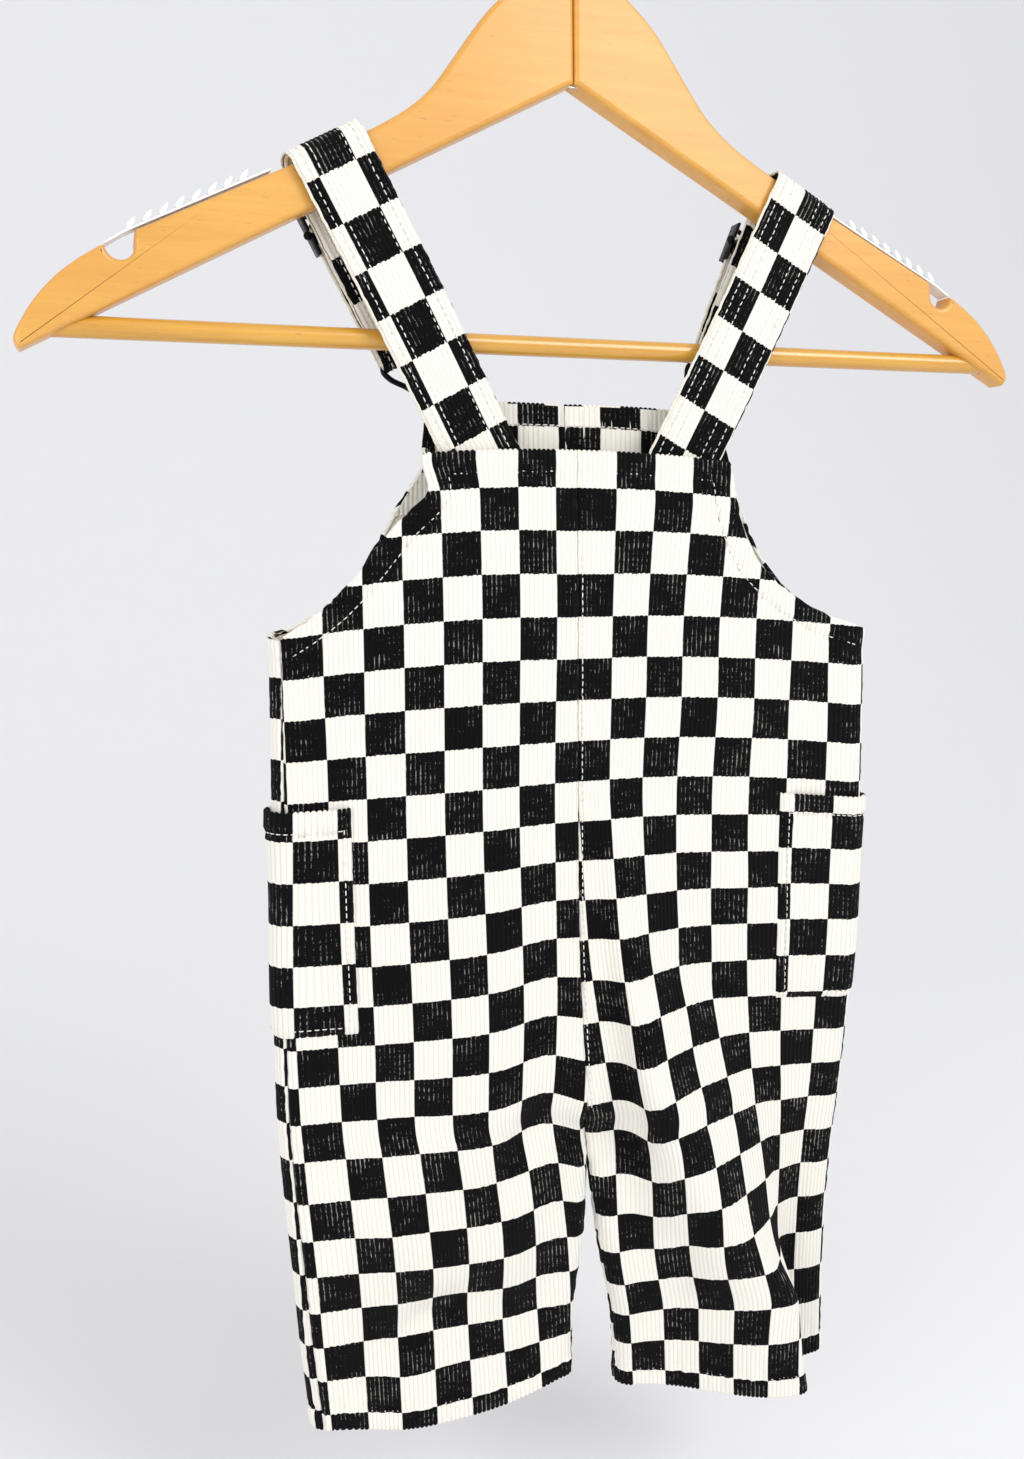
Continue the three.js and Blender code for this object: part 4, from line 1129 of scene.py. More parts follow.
def rounded_slab(shape, outline, thick, bevel):
    """A slab of an outline in x and z with its edges rounded over."""
    area = np.sum(outline[:, 0] * np.roll(outline[:, 1], -1) - np.roll(outline[:, 0], -1) * outline[:, 1])
    if area < 0:
        outline = outline[::-1]
    after = np.roll(outline, -1, axis=0) - outline
    after /= np.linalg.norm(after, axis=1, keepdims=True)
    before = np.roll(after, 1, axis=0)
    square = np.stack([after[:, 1], -after[:, 0]], -1) + np.stack([before[:, 1], -before[:, 0]], -1)
    square /= np.maximum((square**2).sum(1, keepdims=True) / 2, 0.6)
    rings = []
    for degrees in (0, 18, 36, 54, 72, 90):
        angle = math.radians(degrees)
        inset = outline - square * bevel * (1 - math.sin(angle))
        depth = thick / 2 - bevel * (1 - math.cos(angle))
        rings.append(np.stack([inset[:, 0], np.full(len(inset), -depth), inset[:, 1]], -1))
    front = np.stack(rings)
    back = front[::-1] * np.array([1, -1, 1])
    points = np.concatenate([front, back])
    number = numbered(points)
    index = np.concatenate([number, number[:, :1]], 1)
    shape.add(points, grid_faces(index), np.stack([points[..., 0], points[..., 2]], -1))
    for ring, flip in ((points[0], True), (points[-1], False)):
        cap = [np.arange(len(ring))[None, :: 1 if flip else -1]]
        shape.add(ring, cap, np.stack([ring[:, 0], ring[:, 2]], -1))


def arm(name, material):
    """One arm of the hanger, its edges rounded over, with the strap notch."""
    top, _ = smooth_line(np.stack([ARM_TOP["x"], ARM_TOP["z"]], -1), 2.0)
    tip, _ = smooth_line(np.stack([ARM_TIP["x"], ARM_TIP["z"]], -1), 1.5)
    angle = np.linspace(0.93, 1.98, 14) * math.pi
    notch_x = NOTCH["x"] + NOTCH["radius"] * np.cos(angle)
    notch_z = NOTCH["z"] + NOTCH["radius"] * np.sin(angle)
    notch_line = np.stack([notch_x, notch_z], -1)
    joint_x, crown_z = ARM_TOP["x"][0], ARM_TOP["z"][0]
    under_x = np.linspace(ARM_TIP["x"][-1], joint_x, 60)
    under_z = np.linspace(ARM_TIP["z"][-1], APEX_Z, 60)
    under = np.stack([under_x, under_z], -1)[1:]
    joint = np.stack([np.full(14, joint_x), np.linspace(APEX_Z, crown_z, 15)[1:]], -1)[:-1]
    outline = np.vstack([top, notch_line, tip, under, joint])
    side = -1 if name == "left" else 1
    outline[:, 0] *= side
    shape = Shape()
    rounded_slab(shape, outline, ARM_THICK, 2.0)
    made = shape.build("hanger_arm_" + name, [material])
    made.data.set_sharp_from_angle(angle=math.radians(50))
    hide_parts("hanger_arm_" + name)
    return made


def trouser_bar(material):
    """The round bar between the arms."""
    shape = Shape()
    reach = np.linspace(-BAR_HALF, BAR_HALF, 60)
    path = np.stack([reach, np.zeros(60), np.full(60, BAR_Z)], -1)
    tube(shape, path, BAR_RADIUS, 28)
    shape.cloth = [shape.points[0][:, [0, 1]]]
    made = shape.build("hanger_bar", [material])
    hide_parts("hanger_bar")
    return made


# The grips: a thin strip on the arm's top edge, and ribs that lean towards the crown.
GRIP_WIDE = 8
GRIP_BASE = 0.9
GRIP_ENDS = table("x z", (125.5, -169.1), (181, -195.6), (188.6, -200.2))
RIBS = 8
RIB_FROM = 179.4
RIB_PITCH = 6.1
RIB_SHAPE = table(
    "share lean half",
    (0, 0, 0.8), (0.25, 0.1, 1.1), (0.55, 0.45, 1.1), (0.8, 0.75, 0.7), (1, 1, 0.15),
)
RIB_HIGH = 4.4
RIB_LEAN = 2.2


def grip(name, material):
    """The ribbed clear strip on an arm's top edge."""
    x, z = GRIP_ENDS["x"], GRIP_ENDS["z"] + 0.3
    side = -1 if name == "left" else 1
    base = np.vstack([np.stack([x, z], -1), np.stack([x, z + GRIP_BASE], -1)[::-1]])
    shape = Shape()
    rounded_slab(shape, base * (side, 1), GRIP_WIDE, 0.2)
    for number in range(RIBS):
        at = RIB_FROM - RIB_PITCH * number
        foot = np.interp(at, x, z) + GRIP_BASE - 0.2
        middle = at - RIB_LEAN * RIB_SHAPE["lean"]
        height = foot + RIB_HIGH * RIB_SHAPE["share"]
        leaf = np.vstack([
            np.stack([middle - RIB_SHAPE["half"], height], -1),
            np.stack([middle + RIB_SHAPE["half"], height], -1)[::-1],
        ])
        rounded_slab(shape, leaf * (side, 1), GRIP_WIDE, 0.14)
    made = shape.build("grip_strip_" + name, [material])
    made.data.set_sharp_from_angle(angle=math.radians(60))
    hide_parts("grip_strip_" + name)
    return made


HOOK_INSIDE = 20
HOOK_WIRE = 1.7


def hook(material):
    """The hook: a stem in the crown and a round loop, open to the left."""
    bend = HOOK_INSIDE + HOOK_WIRE
    angle = np.radians(np.arange(-40, 201, 12))
    bow = np.stack([bend * np.cos(angle), np.zeros(len(angle)), bend * np.sin(angle) - HOOK_INSIDE], -1)
    stem = [(0, 0, z) for z in (-106, -90, -74, -60)] + [(2.4, 0, -48.5), (9.6, 0, -40.4)]
    path, _ = smooth_line(np.vstack([stem, bow]), 1.5)
    radius = np.full(len(path), HOOK_WIRE)
    radius[-2:] = (1.5, 0.9)
    shape = Shape()
    tube(shape, path, radius, 16)
    made = shape.build("hanger_hook", [material])
    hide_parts("hanger_hook")
    return made


def staple(material):
    """The small metal staple that holds the joint together under the apex."""
    shape = Shape()
    half_wide, depth, end_z, bridge_z = 2.6, -3.2, APEX_Z + 1.6, APEX_Z - 0.5
    corners = ((-half_wide, end_z), (-half_wide, bridge_z), (half_wide, bridge_z), (half_wide, end_z))
    path, _ = smooth_line([(x, depth, z) for x, z in corners], 0.5)
    tube(shape, path, 0.45, 8)
    made = shape.build("joint_staple", [material])
    return made


# Sewing thread: the length of a stitch, the gap to the next, and how wide and high it is.
STITCH_LONG = 2.3
STITCH_GAP = 0.9
STITCH_WIDE = 0.5


def stitches(shape, points, out):
    """Lays stitches along a line of points on the cloth, out being square to the cloth."""
    length = np.concatenate([[0], np.cumsum(np.linalg.norm(np.diff(points, axis=0), axis=1))])
    starts = np.arange(0.4, length[-1] - STITCH_LONG, STITCH_LONG + STITCH_GAP)
    if not len(starts):
        return
    share = np.array([0, 0.15, 0.5, 0.85, 1])
    girth = np.array([0.35, 0.9, 1, 0.9, 0.35]) * STITCH_WIDE / 2
    sink = np.array([-0.25, 0.12, 0.26, 0.12, -0.25])
    place = starts[:, None] + share * STITCH_LONG
    centre = np.stack([np.interp(place, length, points[:, k]) for k in range(3)], -1)
    square = np.stack([np.interp(place, length, out[:, k]) for k in range(3)], -1)
    square /= np.linalg.norm(square, axis=-1, keepdims=True)
    run = centre[:, -1:] - centre[:, :1]
    run = run / np.linalg.norm(run, axis=-1, keepdims=True)
    side = np.cross(square, run)
    angle = np.linspace(0, 2 * np.pi, 6, endpoint=False)
    ring = side[:, :, None] * np.cos(angle)[:, None] + square[:, :, None] * (0.8 * np.sin(angle))[:, None]
    body = (centre + square * sink[:, None])[:, :, None] + ring * girth[:, None, None]
    number = np.arange(body[..., 0].size).reshape(body.shape[:3])
    quads = []
    for k in range(4):
        for s in range(6):
            t = (s + 1) % 6
            corners = [number[:, k, s], number[:, k, t], number[:, k + 1, t], number[:, k + 1, s]]
            quads.append(np.stack(corners, -1))
    shape.add(body, [np.concatenate(quads), number[:, 0, ::-1], number[:, 4, :]])


def wall_line(face_name, down, across, raise_by=0.0):
    """A line on a panel through places given down and across, just over its sewn form."""
    down, across = np.asarray(down, float), np.asarray(across, float)
    points, out = wall_places(face_name, down, across[:, None])
    lift = panel_lift(face_name, down, across[:, None])
    return (points + out * (lift + raise_by)[..., None])[:, 0], out[:, 0]


def panel_stitches(face_name, material):
    """The topstitching of one panel: its hem, top edge, armhole and seams."""
    face = FACES[face_name]
    half = HALVES[face["half"]]
    shape = Shape()
    steps = 90

    def across_line(level, low, high):
        across = np.linspace(low, high, steps)
        down = level + 0.35 * wobble(across, 3.0)
        stitches(shape, *wall_line(face_name, down, across, 0.1))

    hem = HEM_DOWN - HEM_TURNED
    level = np.array([hem, face["top"] + HEM_TURNED], float)
    low = along(half["sections"], "cut", level) + 1
    high = edge_across(face_name, level) - 1
    across_line(hem, low[0], high[0])
    across_line(face["top"] + HEM_TURNED, low[1], high[1] - HEM_TURNED)
    at = np.linspace(face["top"] + 2, ARMHOLE_DOWN - 0.5, 160)
    curve = np.stack([at, along(face["armhole"], "across", at)], -1)
    run = np.gradient(curve, axis=0)
    run /= np.linalg.norm(run, axis=1, keepdims=True)
    inside = curve + np.stack([run[:, 1], -run[:, 0]], -1) * HEM_TURNED
    keep = inside[:, 0] > face["top"] + HEM_TURNED
    limit = edge_across(face_name, inside[:, 0]) - 1
    inside = inside[keep & (inside[:, 1] < limit)]
    stitches(shape, *wall_line(face_name, inside[:, 0], inside[:, 1], 0.1))
    if face["sign"] > 0:
        across = np.linspace(1, high[1] - HEM_TURNED, steps)
        points, out = wall_places(face_name, np.full(steps, face["top"] + HEM_TURNED), across[:, None])
        lift = panel_lift(face_name, np.full(steps, face["top"] + HEM_TURNED), across[:, None])
        inner = (points + out * (lift - CLOTH_THICK - 0.5)[..., None])[:, 0]
        stitches(shape, inner, -out[:, 0])
    seam_from = 42.6 if face["sign"] < 0 else face["top"] + HEM_TURNED
    if half["side"] > 0:
        down = np.linspace(seam_from, CROTCH_DOWN - 16, 240)
        across = along(half["sections"], "cut", down) + 1.7
        stitches(shape, *wall_line(face_name, down, across, 0.1))
    return shape.build("stitches_" + face_name, [material])


def pocket_stitches(name, material):
    """The stitches round a pocket: down its edges, along its foot and below its mouth."""
    sizes = POCKETS[name]
    half = HALVES[name]
    shape = Shape()
    turn, around = pocket_round(name)

    def place(level, reach):
        level, reach = np.broadcast_arrays(np.asarray(level, float), np.asarray(reach, float))
        past = reach - sizes["front"]
        front, front_out = wall_places("front_" + name, level, (half["flat_end"] + past)[:, None])
        far = half["flat_end"] + math.pi * turn - past
        back, back_out = wall_places("back_" + name, level, far[:, None])
        pick = (past / turn < math.pi / 2)[:, None]
        points, out = np.where(pick, front[:, 0], back[:, 0]), np.where(pick, front_out[:, 0], back_out[:, 0])
        aside = np.minimum(reach, around - reach)
        stand = pocket_stand(sizes, level, aside)
        return points + out * (stand - 0.1)[:, None], out

    level = np.linspace(sizes["top"] + 1, sizes["bottom"] - POCKET_SEAM, 80)
    reach = np.linspace(POCKET_SEAM, around - POCKET_SEAM, 120)
    stitches(shape, *place(level, POCKET_SEAM))
    stitches(shape, *place(level, around - POCKET_SEAM))
    stitches(shape, *place(sizes["bottom"] - POCKET_SEAM, reach))
    stitches(shape, *place(sizes["top"] + HEM_TURNED, reach))
    return shape.build("stitches_pocket_" + name, [material])


def strap_stitches(name, material):
    """The rows of stitches on each face of a strap."""
    sizes = STRAPS[name]
    line, outward, length = strap_line()
    shape = Shape()
    matrix = strap_matrix(sizes)
    for face in (1, -1):
        for edge in (-12.6, -7.2, 6.7, 11.4):
            plane = line + outward * face * (STRAP_THICK / 2 - 0.1)
            side = edge + 0.25 * wobble(length, 5.0 + edge)
            points = placed(sizes, np.stack([plane[:, 0], plane[:, 1], side], -1))
            out = face * np.stack([outward[:, 0], outward[:, 1], np.zeros(len(line))], -1) @ matrix
            stitches(shape, points, out)
    return shape.build("stitches_strap_" + name, [material])


def add_node(tree, kind, *values, settings=None, **named):
    """Adds a shader node, sets its own settings, and gives each input a value or a link."""
    node = tree.nodes.new(kind)
    for name, value in (settings or {}).items():
        setattr(node, name, value)
    pairs = list(zip(node.inputs, values))
    pairs += [(node.inputs[name.replace("_", " ")], value) for name, value in named.items()]
    for socket, value in pairs:
        if isinstance(value, bpy.types.NodeSocket):
            tree.links.new(value, socket)
        elif value is not None:
            socket.default_value = value
    return node


def new_material(name, colour, **sockets):
    """A material with a principled shader, and its constant values on the shader's own sockets."""
    material = bpy.data.materials.new(name)
    material.use_nodes = True
    material.diffuse_color = [*linear(colour), 1]
    tree = material.node_tree
    shader = next(node for node in tree.nodes if node.type == "BSDF_PRINCIPLED")
    shader.inputs["Base Color"].default_value = [*linear(colour), 1]
    for key, value in sockets.items():
        shader.inputs[key.replace("_", " ")].default_value = value
    return material, tree, shader


def calculate(tree, operation, *values):
    """The output of a math node."""
    return add_node(tree, "ShaderNodeMath", *values, settings={"operation": operation}).outputs[0]


def noise(tree, place, **named):
    """The output of a noise texture."""
    return add_node(tree, "ShaderNodeTexNoise", place, **named).outputs[0]


def remap(tree, value, *limits):
    """A value taken from the range of the first two limits to that of the last two."""
    return add_node(tree, "ShaderNodeMapRange", value, *limits).outputs[0]


def object_place(tree):
    """The place on the object itself, in metres."""
    return add_node(tree, "ShaderNodeTexCoord").outputs["Object"]


def add_bump(tree, shader, strength, distance, height):
    """Gives a shader a fine relief, its distance in metres."""
    bump = add_node(tree, "ShaderNodeBump", Strength=strength, Distance=distance, Height=height)
    tree.links.new(bump.outputs[0], shader.inputs["Normal"])


def blended(tree, share, first, second):
    """Mixes two colours, each a hex number or a link."""
    first, second = ([*linear(c), 1] if isinstance(c, int) else c for c in (first, second))
    node = add_node(tree, "ShaderNodeMix", settings={"data_type": "RGBA"})
    for socket, value in ((node.inputs[0], share), (node.inputs[6], first), (node.inputs[7], second)):
        if isinstance(value, bpy.types.NodeSocket):
            tree.links.new(value, socket)
        else:
            socket.default_value = value
    return node.outputs[2]


def corduroy_material(settings):
    """Cotton corduroy, printed in black and warm white checks. The print stays on the ridges, so in
    a black check the undyed ground shows in the grooves as short pale flecks, and the check's
    level edges step from ridge to ridge."""
    white, black = 0xEDEAE1, 0x030304
    material, tree, shader = new_material("printed_cotton_corduroy", white, Roughness=0.92)
    shader.inputs["Sheen Weight"].default_value = settings.nap_sheen
    shader.inputs["Sheen Roughness"].default_value = 0.6
    shader.inputs["Specular IOR Level"].default_value = 0.09
    cloth = add_node(tree, "ShaderNodeUVMap", settings={"uv_map": "cloth"}).outputs[0]
    place = add_node(tree, "ShaderNodeSeparateXYZ", cloth)
    u, v = place.outputs[0], place.outputs[1]
    wale = calculate(tree, "MULTIPLY", u, float(WALES_A_CHECK))
    wale_number = calculate(tree, "FLOOR", wale)
    ridge = calculate(tree, "ABSOLUTE", calculate(tree, "SINE", calculate(tree, "MULTIPLY", wale, math.pi)))
    random = add_node(tree, "ShaderNodeTexWhiteNoise", settings={"noise_dimensions": "1D"}, W=wale_number)
    own = random.outputs[0]
    jag = calculate(tree, "MULTIPLY", calculate(tree, "SUBTRACT", own, 0.5), 0.02)
    round_end = calculate(tree, "MULTIPLY", ridge, 0.018)
    level = calculate(tree, "ADD", v, calculate(tree, "ADD", jag, round_end))
    cells = calculate(tree, "ADD", calculate(tree, "FLOOR", u), calculate(tree, "FLOOR", level))
    odd = calculate(tree, "FLOORED_MODULO", cells, 2.0)

    streak_u = calculate(tree, "MULTIPLY", wale_number, 1.37)
    streak_v = calculate(tree, "MULTIPLY", v, 5.5)
    streak_place = add_node(tree, "ShaderNodeCombineXYZ", streak_u, streak_v, 0.0).outputs[0]
    streak = noise(tree, streak_place, Scale=1.0, Detail=4.0, Roughness=0.75)
    patch = noise(tree, cloth, Scale=0.9, Detail=2.0)
    uneven = calculate(tree, "MULTIPLY", calculate(tree, "SUBTRACT", patch, 0.5), 0.5)
    spread = calculate(tree, "ADD", streak, uneven)
    fleck = remap(tree, spread, 0.54, 0.72, 0.0, 1.0)
    groove = remap(tree, ridge, 0.5, 0.15, 0.0, 1.0)
    shown = calculate(tree, "MULTIPLY", fleck, groove)
    fuzz_scale = (WALES_A_CHECK * 6.0, 34.0, 1.0)
    scaled = add_node(tree, "ShaderNodeVectorMath", cloth, fuzz_scale, settings={"operation": "MULTIPLY"})
    fuzz_place = scaled.outputs[0]
    fuzz = noise(tree, fuzz_place, Scale=1.0, Detail=3.0, Roughness=0.7)
    fuzzy = remap(tree, fuzz, 0.35, 0.75, 0.0, 0.22)
    printed = blended(tree, fuzzy, black, 0x1B1C20)
    printed = blended(tree, shown, printed, 0xB9B6AE)
    # Painted shade: in the white checks the grooves between the wales are darkened, as shade in the recesses.
    painted_groove_shade = remap(tree, ridge, 0.55, 0.05, 0.0, 0.4)
    plain = blended(tree, calculate(tree, "MULTIPLY", fuzzy, 1.6), white, 0xDAD6CB)
    plain = blended(tree, painted_groove_shade, plain, 0xBDB8AC)
    colour = blended(tree, odd, plain, printed)
    tree.links.new(colour, shader.inputs["Base Color"])
    add_bump(tree, shader, 0.35, 0.0002, fuzz)
    return material


def inside_material():
    """The unprinted wrong side of the cloth: a cream cotton weave without pile. The weave is drawn
    at about 0.8 mm, coarser than the real one, so that it shows at all."""
    material, tree, shader = new_material("cotton_wrong_side", 0xE9E4D6, Roughness=0.95)
    place = object_place(tree)
    weave = noise(tree, place, Scale=1200.0, Detail=2.0)
    colour = blended(tree, remap(tree, weave, 0.3, 0.7, 0.0, 1.0), 0xEDE8DB, 0xD6D0C0)
    tree.links.new(colour, shader.inputs["Base Color"])
    add_bump(tree, shader, 0.3, 0.0002, weave)
    return material


def thread_material():
    """White polyester sewing thread: a slight sheen, and the grooves of its twisted plies painted darker as
    shade, drawn at 0.5 mm.
    """
    material, tree, shader = new_material("polyester_thread", 0xF3F1EA, Roughness=0.55)
    place = object_place(tree)
    # Painted shade: darker bands across the thread stand for the shade in the grooves between its twisted
    # plies.
    twist_groove_shade = add_node(tree, "ShaderNodeTexWave", place, Scale=320.0, Distortion=2.0).outputs[1]
    colour = blended(tree, twist_groove_shade, 0xF6F4EE, 0xD5D2C8)
    tree.links.new(colour, shader.inputs["Base Color"])
    return material


def wood_material(name, pale, dark, roughness, coat):
    """Lacquered hardwood: fine grain along its length, drawn at about 1 mm, with small dark pores
    and a clear satin coat."""
    material, tree, shader = new_material(name, pale, Roughness=roughness)
    shader.inputs["Coat Weight"].default_value = coat
    shader.inputs["Coat Roughness"].default_value = 0.18
    place = object_place(tree)
    lie = add_node(tree, "ShaderNodeMapping", place, Scale=(14.0, 260.0, 260.0)).outputs[0]
    grain = noise(tree, lie, Scale=1.0, Detail=5.0, Roughness=0.6, Distortion=0.4)
    broad = noise(tree, place, Scale=9.0, Detail=2.0)
    pore_lie = add_node(tree, "ShaderNodeMapping", place, Scale=(160.0, 1500.0, 1500.0)).outputs[0]
    pores = noise(tree, pore_lie, Scale=1.0, Detail=1.0)
    share = remap(tree, grain, 0.35, 0.7, 0.0, 0.5)
    colour = blended(tree, share, pale, dark)
    colour = blended(tree, remap(tree, broad, 0.35, 0.7, 0.0, 0.35), colour, dark)
    colour = blended(tree, remap(tree, pores, 0.68, 0.76, 0.0, 0.45), colour, 0x9A6A30)
    tree.links.new(colour, shader.inputs["Base Color"])
    add_bump(tree, shader, 0.08, 0.0003, grain)
    return material


def black_metal_material():
    """Zinc fittings with a satin black finish, a little uneven in gloss where hands rub it."""
    material, tree, shader = new_material("black_plated_zinc", 0x151517, Metallic=0.85)
    place = object_place(tree)
    rubbed = noise(tree, place, Scale=180.0, Detail=3.0)
    gloss = remap(tree, rubbed, 0.3, 0.7, 0.28, 0.46)
    tree.links.new(gloss, shader.inputs["Roughness"])
    return material


def steel_material():
    """Nickel-plated steel wire, bright, with faint drawing marks."""
    material, tree, shader = new_material("nickel_plated_steel", 0xC9CBCE, Metallic=1.0)
    place = object_place(tree)
    marks = noise(tree, place, Scale=420.0, Detail=2.0)
    gloss = remap(tree, marks, 0.3, 0.7, 0.14, 0.26)
    tree.links.new(gloss, shader.inputs["Roughness"])
    return material


def silicone_material():
    """Clear silicone: milky, soft highlights, and light passing through its ribs."""
    material, tree, shader = new_material("clear_silicone", 0xB2B2AA, Roughness=0.3, IOR=1.41)
    shader.inputs["Transmission Weight"].default_value = 0.35
    place = object_place(tree)
    haze = noise(tree, place, Scale=300.0, Detail=2.0)
    gloss = remap(tree, haze, 0.3, 0.7, 0.22, 0.4)
    tree.links.new(gloss, shader.inputs["Roughness"])
    return material


class ClothSettings(bpy.types.PropertyGroup):
    """What a user would change on the garment."""

    nap_sheen: FloatProperty(
        name="Nap sheen",
        description="How strongly the pile catches light",
        default=0.035,
        min=0,
        max=1,
        subtype="FACTOR",
    )


class HangerSettings(bpy.types.PropertyGroup):
    """What a user would change on the hanger."""

    gloss: FloatProperty(
        name="Lacquer",
        description="How strong the clear coat on the wood is",
        default=0.35,
        min=0,
        max=1,
        subtype="FACTOR",
    )


class StageSettings(bpy.types.PropertyGroup):
    """What a user would change on the stage."""

    backdrop: FloatVectorProperty(
        name="Backdrop",
        description="Colour of the floor and backdrop",
        default=(0.84, 0.842, 0.856),
        size=3,
        min=0,
        max=1,
        subtype="COLOR",
    )
    key_power: FloatProperty(
        name="Key light",
        description="Power of the large soft light",
        default=25,
        min=0,
        max=500,
        unit="POWER",
    )


def cached_material(name, make):
    """The material of that name, made when it is first wanted."""
    return bpy.data.materials.get(name) or make()


def cloth_materials(context):
    """The printed right side and the cream wrong side of the cloth."""
    settings = context.scene.overalls_cloth
    printed = cached_material("printed_cotton_corduroy", lambda: corduroy_material(settings))
    return [printed, cached_material("cotton_wrong_side", inside_material)]


class OVERALLS_OT_panels(bpy.types.Operator):
    """Build the four panels of the garment and their stitches"""

    bl_idname = "overalls.panels"
    bl_label = "Panels"

    def execute(self, context):
        materials = cloth_materials(context)
        thread = cached_material("polyester_thread", thread_material)
        for face_name in FACES:
            made = panel(face_name, materials)
            sewn = panel_stitches(face_name, thread)
            sewn.parent = made
        return {"FINISHED"}


class OVERALLS_OT_pockets(bpy.types.Operator):
    """Build the two patch pockets and their stitches"""

    bl_idname = "overalls.pockets"
    bl_label = "Pockets"

    def execute(self, context):
        materials = cloth_materials(context)
        thread = cached_material("polyester_thread", thread_material)
        for name in POCKETS:
            pocket(name, materials)
            pocket_stitches(name, thread)
        return {"FINISHED"}


class OVERALLS_OT_straps(bpy.types.Operator):
    """Build the two straps and their stitches"""

    bl_idname = "overalls.straps"
    bl_label = "Straps"

    def execute(self, context):
        materials = cloth_materials(context)
        thread = cached_material("polyester_thread", thread_material)
        for name in STRAPS:
            strap(name, materials)
            strap_stitches(name, thread)
        return {"FINISHED"}


class OVERALLS_OT_fittings(bpy.types.Operator):
    """Build the sliders, buckles and buttons"""

    bl_idname = "overalls.fittings"
    bl_label = "Metal fittings"

    def execute(self, context):
        metal = cached_material("black_plated_zinc", black_metal_material)
        for name in STRAPS:
            slider(name, metal)
            buckle(name, metal)
            button(name, metal)
        return {"FINISHED"}


class OVERALLS_OT_hanger(bpy.types.Operator):
    """Build the wooden hanger with its bar, grips, hook and staple"""

    bl_idname = "overalls.hanger"
    bl_label = "Hanger"

    def execute(self, context):
        coat = context.scene.overalls_hanger.gloss
        wood = cached_material(
            "lacquered_beech", lambda: wood_material("lacquered_beech", 0xDFA74C, 0xCD8B36, 0.42, coat)
        )
        golden = cached_material(
            "varnished_bar", lambda: wood_material("varnished_bar", 0xDCA63C, 0xB97C24, 0.26, 0.8)
        )
        clear = cached_material("clear_silicone", silicone_material)
        steel = cached_material("nickel_plated_steel", steel_material)
        for name in ("left", "right"):
            arm(name, wood)
            grip(name, clear)
        trouser_bar(golden)
        hook(steel)
        staple(steel)
        return {"FINISHED"}


CAMERA_AT = (-219.275, -534.36, -316.692)
CAMERA_AZIMUTH = -19.608
CAMERA_ELEVATION = 7.528
CAMERA_ROLL = -0.754
CAMERA_LENS = 32.56


def camera_matrix():
    """The camera's place and turn in the part's frame."""
    azimuth, elevation, roll = (math.radians(a) for a in (CAMERA_AZIMUTH, CAMERA_ELEVATION, CAMERA_ROLL))
    level = math.cos(elevation)
    back = np.array([math.sin(azimuth) * level, -math.cos(azimuth) * level, math.sin(elevation)])
    right = np.array([math.cos(azimuth), math.sin(azimuth), 0])
    up = np.cross(back, right)
    turned_right = math.cos(roll) * right + math.sin(roll) * up
    turned_up = -math.sin(roll) * right + math.cos(roll) * up
    matrix = np.eye(4)
    matrix[:3, 0], matrix[:3, 1], matrix[:3, 2] = turned_right, turned_up, back
    matrix[:3, 3] = np.array(CAMERA_AT) * MM
    return Matrix(matrix.tolist())


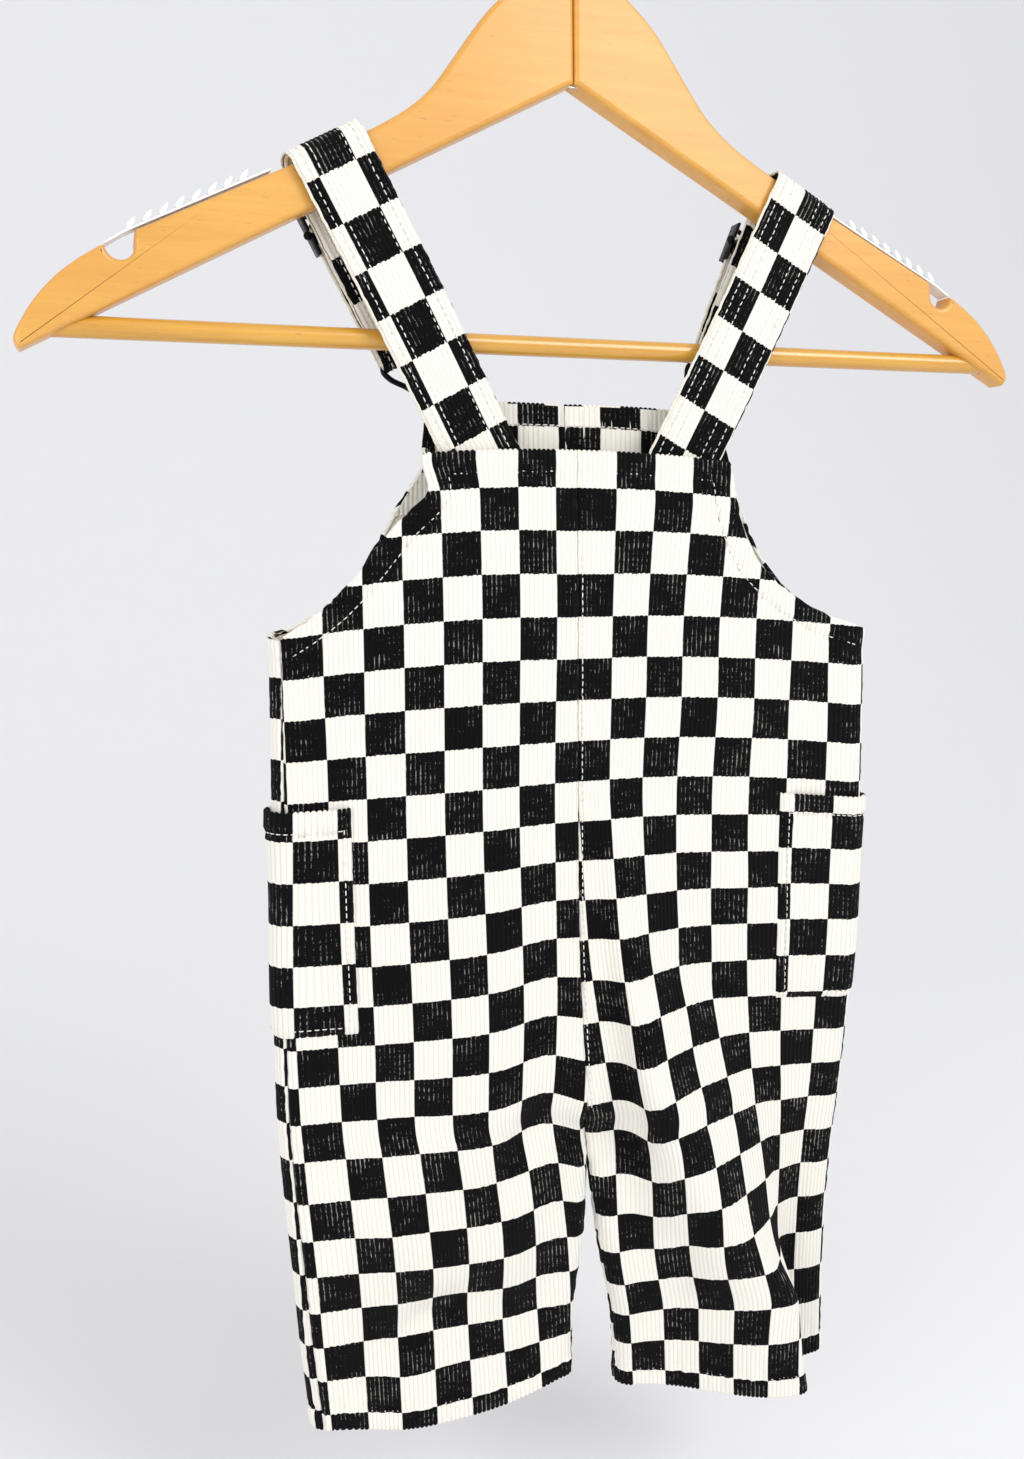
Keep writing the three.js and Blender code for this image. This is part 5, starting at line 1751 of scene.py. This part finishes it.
class OVERALLS_OT_stage(bpy.types.Operator):
    """Build the floor, backdrop, lights and camera"""

    bl_idname = "overalls.stage"
    bl_label = "Stage"

    def execute(self, context):
        scene = context.scene
        settings = scene.overalls_stage
        material, tree, shader = new_material("matt_studio_paint", 0xE4E6EA, Roughness=0.9)
        shader.inputs["Base Color"].default_value = [*settings.backdrop, 1]
        place = object_place(tree)
        roller = noise(tree, place, Scale=60.0, Detail=2.0)
        add_bump(tree, shader, 0.03, 0.0005, roller)
        half_wide, front_y, back_y, floor_z, top_z, radius = 4.5, -4.0, 2.4, -0.79, 3.2, 1.7
        turn = np.linspace(0, math.pi / 2, 12)
        turn_y = back_y - radius
        sweep = [(front_y, floor_z)]
        sweep += [(turn_y + radius * math.sin(a), floor_z + radius * (1 - math.cos(a))) for a in turn]
        sweep += [(back_y, top_z)]
        points = [(x / MM, y / MM, z / MM) for y, z in sweep for x in (-half_wide, half_wide)]
        number = np.arange(len(points)).reshape(-1, 2)
        shape = Shape()
        shape.add(points, grid_faces(number, True))
        backdrop = shape.build("studio_sweep", [material])

        world = bpy.data.worlds.new("soft_daylight")
        scene.world = world
        world.use_nodes = True
        sky = world.node_tree.nodes["Background"]
        sky.inputs[0].default_value = [*linear(0xF8F8FA), 1]
        sky.inputs[1].default_value = 0.84
        target = (0, 0, -0.45)
        lights = (
            ("key_light", (1.1, -1.7, 0.9), 1.3, settings.key_power),
            ("fill_light", (-1.8, -1.3, 0.1), 1.6, settings.key_power * 0.62),
        )
        for name, at, size, power in lights:
            data = bpy.data.lights.new(name, "AREA")
            data.shape, data.size, data.energy = "DISK", size, power
            light = bpy.data.objects.new(name, data)
            scene.collection.objects.link(light)
            way = Matrix.Translation(at).to_translation() - Matrix.Translation(target).to_translation()
            light.location = at
            light.rotation_euler = way.to_track_quat("Z", "Y").to_euler()

        data = bpy.data.cameras.new("camera")
        data.lens, data.sensor_width = CAMERA_LENS, 36
        data.clip_start, data.clip_end = 0.01, 50
        camera = bpy.data.objects.new("camera", data)
        scene.collection.objects.link(camera)
        camera.matrix_world = camera_matrix()
        scene.camera = camera
        scene.view_settings.view_transform = "Standard"
        return {"FINISHED"}


PIECES = (
    OVERALLS_OT_panels,
    OVERALLS_OT_pockets,
    OVERALLS_OT_straps,
    OVERALLS_OT_fittings,
    OVERALLS_OT_hanger,
    OVERALLS_OT_stage,
)


class OVERALLS_PT_panel(bpy.types.Panel):
    """The overalls' own panel in the sidebar."""

    bl_label = "Checked overalls"
    bl_idname = "OVERALLS_PT_panel"
    bl_space_type = "VIEW_3D"
    bl_region_type = "UI"
    bl_category = "Overalls"

    def draw(self, context):
        for group in ("overalls_cloth", "overalls_hanger", "overalls_stage"):
            settings = getattr(context.scene, group)
            for name in settings.__annotations__:
                self.layout.prop(settings, name)
        for piece in PIECES:
            self.layout.operator(piece.bl_idname)


CLASSES = (ClothSettings, HangerSettings, StageSettings, *PIECES, OVERALLS_PT_panel)


def register():
    """Registers the classes and their settings on the scene."""
    for kind in CLASSES:
        bpy.utils.register_class(kind)
    bpy.types.Scene.overalls_cloth = PointerProperty(type=ClothSettings)
    bpy.types.Scene.overalls_hanger = PointerProperty(type=HangerSettings)
    bpy.types.Scene.overalls_stage = PointerProperty(type=StageSettings)


def unregister():
    """Takes the settings and classes away again."""
    for name in ("overalls_cloth", "overalls_hanger", "overalls_stage"):
        delattr(bpy.types.Scene, name)
    for kind in reversed(CLASSES):
        bpy.utils.unregister_class(kind)


def main():
    """Builds every piece in order."""
    register()
    bpy.ops.overalls.panels()
    bpy.ops.overalls.pockets()
    bpy.ops.overalls.straps()
    bpy.ops.overalls.fittings()
    bpy.ops.overalls.hanger()
    bpy.ops.overalls.stage()
    bpy.context.view_layer.update()


if __name__ == "__main__":
    main()
